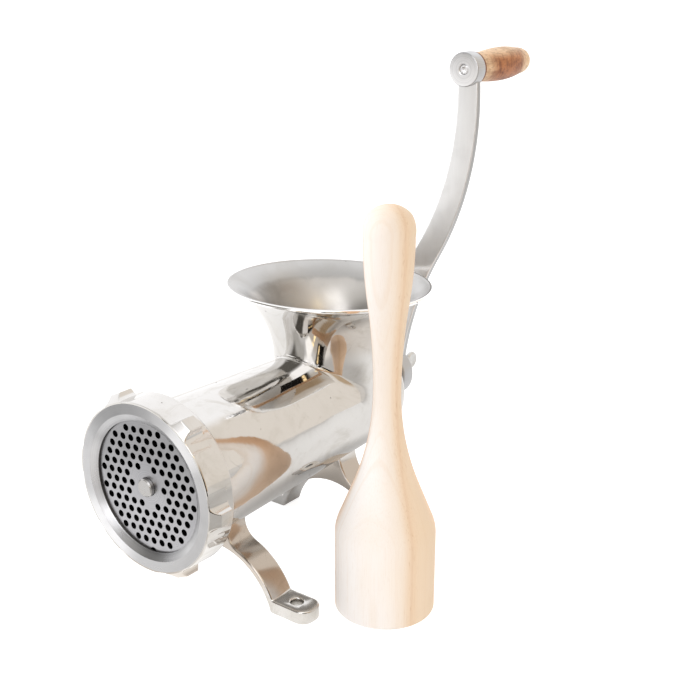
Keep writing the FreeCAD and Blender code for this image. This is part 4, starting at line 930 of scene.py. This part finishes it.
spade = lathe("spade", spade_line, 96, lambda v: np.stack([v[:, 0], 162.4 + v[:, 1], AX + v[:, 2]], 1))
thumb = boolean(thumb, spade, "UNION")
smooth(thumb, 40.0)
dress(thumb, CAST)
thumb.name = "thumb"
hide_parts("thumb_screw")
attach(thumb, "thumb")

# ---------------------------------------------------------------- grip
grip_y = 139.4
grip_line = trace([(grip_y, 8.1), (grip_y, 3.3), (206.9, 3.3), (206.9, 5.1), (211.4, 5.1), (211.4, 5.9, 14.0), (201.0, 9.7, 142.0), (175.0, 12.1, 240.0),
                   (grip_y + 1.2, 9.3, 1.7), (grip_y, 8.1)], 1.0)[:-1]
grip = lathe("grip_turned", filled(grip_line, 2.0, True), 128, along_y(CX, CZ), True)
smooth(grip, 34.0)
dress(grip, BEECH)
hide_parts("grip")
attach(grip, "grip")

# ---------------------------------------------------------------- pusher
push_line = trace([(0, 0), (31.2, 0, 3.0), (34.2, 3.0), (34.2, 57.2, 30.0), (31.9, 68.4), (22.16, 92.6, -178.0), (9.2, 159.6, -411.0), (13.4, 218.6, 300.0),
                   (16.6, 262.4, 21.0), (14.2, 276.2, 17.6), (1.2, 282.7), (0, 282.7)], 1.2)
push_line[-2:, 1] = (282.66, 282.7)
pusher = lathe("pusher_turned", filled(push_line, 2.0)[:, ::-1], 180, along_z(103.0, -17.5))
smooth(pusher, 50.0)
dress(pusher, MAPLE)
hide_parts("meat_pusher")
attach(pusher, "pusher")

# ---------------------------------------------------------------- finishes of the pieces kept from the frame; the plate's carries painted light and painted shade, the grip screw's painted light
for name, mat in (("grinding_plate", PLATE), ("knife", SCREW), ("feed_screw", SCREW), ("knife_stud", BRIGHT), ("plate_key_pin", BRIGHT), ("crank_washer", BRIGHT),
                  ("grip_spindle", BRIGHT), ("grip_screw", SOCKET), ("rear_bush", BRONZE), ("thrust_washer", FIBRE), ("grip_washer", FIBRE)):
    dress(node[name], mat)

# ---------------------------------------------------------------- stage, light and camera
floor_mat = Mat("floor")
floor_mat.base(color=(0.42, 0.42, 0.42), rough=0.9, level=0.0)
fx, fy, fz = floor_mat.split(floor_mat.coord)
# the floor glows evenly to camera and diffuse rays; to glossy rays it carries painted light and shade, brighter where x
# - 0.8 y is low and cream where it is high
side = floor_mat.math("ADD", fx, floor_mat.math("MULTIPLY", fy, -0.8))
# painted shadow: the glow drops in an ellipse under the grinder
painted_shade_under = floor_mat.vec("LENGTH", floor_mat.vec("MULTIPLY", floor_mat.vec("SUBTRACT", floor_mat.coord, (-0.01, 0.06, 0.0)), (11.0, 6.7, 0.0)))
near_glow = floor_mat.math("MULTIPLY", floor_mat.ramp(side, 0.02, 0.34, 0.62, 0.12), floor_mat.ramp(painted_shade_under, 0.55, 1.2, 0.22, 1.0))
# painted light: a pool of extra glow on the floor in front of the grinder
painted_light_apron = floor_mat.vec("LENGTH", floor_mat.vec("MULTIPLY", floor_mat.vec("SUBTRACT", floor_mat.coord, (0.05, -0.12, 0.0)), (11.0, 11.0, 0.0)))
near_glow = floor_mat.math("ADD", near_glow, floor_mat.ramp(painted_light_apron, 0.5, 1.2, 0.45, 0.0))
far_glow = floor_mat.math("MULTIPLY", floor_mat.ramp(floor_mat.vec("LENGTH", floor_mat.coord), 0.25, 0.80, 0.0, 0.40), floor_mat.ramp(side, 0.0, 0.4))
path = floor_mat.t.nodes.new("ShaderNodeLightPath")
seen = floor_mat.math("MAXIMUM", path.outputs["Is Camera Ray"], path.outputs["Is Diffuse Ray"])
glow = floor_mat.math("MAXIMUM", floor_mat.math("MAXIMUM", near_glow, far_glow), floor_mat.math("MULTIPLY", seen, 0.82))
cream = floor_mat.math("MULTIPLY", floor_mat.ramp(side, 0.05, 0.4), floor_mat.math("SUBTRACT", 1.0, seen))
floor_mat.set(floor_mat.b.inputs["Emission Color"], floor_mat.mix(cream, (1.0, 1.0, 1.0), (1.0, 0.93, 0.85)))
floor_mat.set(floor_mat.b.inputs["Emission Strength"], glow)
floor = make("floor", [(-9000, -9000, -0.3), (9000, -9000, -0.3), (9000, 9000, -0.3), (-9000, 9000, -0.3)], [(0, 1, 2, 3)])
dress(floor, floor_mat.m)

# a white room, cream on the right and dim in front on the left, with a bright tall panel, a dark low panel and a brown panel further right
world = bpy.data.worlds.new("studio")
scene.world = world
world.use_nodes = True
w = Mat("studio", world.node_tree)
back = w.t.nodes["Background"]
view = w.t.nodes.new("ShaderNodeTexCoord").outputs["Generated"]
vx, vy, vz = w.split(view)
turn_deg = w.math("MULTIPLY", w.math("ARCTAN2", vx, w.math("MULTIPLY", vy, -1.0)), 180.0 / math.pi)
rise_deg = w.math("MULTIPLY", w.math("ARCSINE", vz), 180.0 / math.pi)


def patch(a0, a1, e0, e1, soft_a, soft_e):
    across = w.math("MULTIPLY", w.ramp(turn_deg, a0 - soft_a, a0 + soft_a), w.ramp(turn_deg, a1 - soft_a, a1 + soft_a, 1.0, 0.0))
    up = w.math("MULTIPLY", w.ramp(rise_deg, e0 - soft_e, e0 + soft_e), w.ramp(rise_deg, e1 - soft_e, e1 + soft_e, 1.0, 0.0))
    return w.math("MULTIPLY", across, up)


room = w.mix(patch(42.0, 172.0, -95.0, 66.0, 10.0, 8.0), (1.36, 1.36, 1.38), (1.06, 0.99, 0.91))
room = w.mix(patch(-200.0, 200.0, 66.0, 95.0, 5.0, 9.0), room, (1.00, 0.99, 0.98))
room = w.mix(patch(-80.0, 4.0, 34.0, 62.0, 10.0, 6.0), room, (0.86, 0.85, 0.83))
room = w.mix(patch(-60.0, -6.0, -12.0, 40.0, 7.0, 6.0), room, (0.20, 0.19, 0.175))
room = w.mix(patch(-2.0, 30.0, -12.0, 44.0, 2.5, 6.0), room, (2.1, 2.1, 2.15))
room = w.mix(patch(14.0, 50.0, 38.0, 64.0, 4.0, 4.0), room, (2.3, 2.3, 2.3))
room = w.mix(patch(70.0, 108.0, -15.0, 30.0, 7.0, 6.0), room, (0.70, 0.53, 0.36))
room = w.mix(patch(31.0, 64.0, -15.0, 20.0, 2.0, 2.5), room, (0.020, 0.018, 0.016))
lamp = w.math("MULTIPLY", patch(34.0, 61.0, 10.0, 14.5, 1.5, 0.8), w.ramp(w.noise(view, 9.0, 2.0), 0.42, 0.50))
room = w.mix(lamp, room, (2.6, 2.0, 1.15))
room = w.mix(w.math("MULTIPLY", patch(48.0, 70.0, 37.0, 45.0, 2.0, 1.5), w.ramp(w.noise(view, 7.0, 2.0), 0.40, 0.52)), room, (3.4, 2.7, 1.5))
direct = w.t.nodes.new("ShaderNodeLightPath").outputs["Is Camera Ray"]
room = w.mix(direct, room, (1.0, 1.0, 1.0))
w.set(back.inputs[0], room)
back.inputs[1].default_value = 1.0


# reflection-only flags that stand on the floor
def flag(name, az0, az1, far, z0, z1, color):
    steps = 8
    line = [math.radians(az0 + (az1 - az0) * k / steps) for k in range(steps + 1)]
    pts = [(far * math.sin(a), 20.0 - far * math.cos(a), z) for z in (z0, z1) for a in line]
    obj = make(name, pts, [(k, k + 1, steps + 2 + k, steps + 1 + k) for k in range(steps)])
    m = Mat(name)
    m.base(color=color, rough=0.9, level=0.0)
    dress(obj, m.m)
    obj.visible_camera = obj.visible_diffuse = obj.visible_shadow = False


flag("dark_flag", 31.0, 62.0, 520.0, 0.0, 230.0, (0.012, 0.011, 0.010))


def softbox(name, place, aim, wide, high, watts, color=(1, 1, 1)):
    light = bpy.data.lights.new(name, "AREA")
    light.shape = "RECTANGLE"
    light.size, light.size_y = wide, high
    light.energy = watts
    light.color = color
    obj = bpy.data.objects.new(name, light)
    obj.location = place
    obj.rotation_euler = (Vector(aim) - Vector(place)).to_track_quat("-Z", "Y").to_euler()
    scene.collection.objects.link(obj)
    return obj


key = softbox("key", (-1.2, -0.7, 1.1), (0, 0, 0.15), 1.0, 1.0, 13.0)
key.visible_glossy = False

cam_data = bpy.data.cameras.new("camera")
cam_data.lens = 63.53
cam_data.sensor_width = 36.0
cam = bpy.data.objects.new("camera", cam_data)
cam.location = (0.5209, -0.6136, 0.4464)
cam.rotation_euler = (math.radians(70.87), 0.0, math.radians(37.45))
scene.collection.objects.link(cam)
scene.camera = cam
scene.view_settings.view_transform = "Standard"
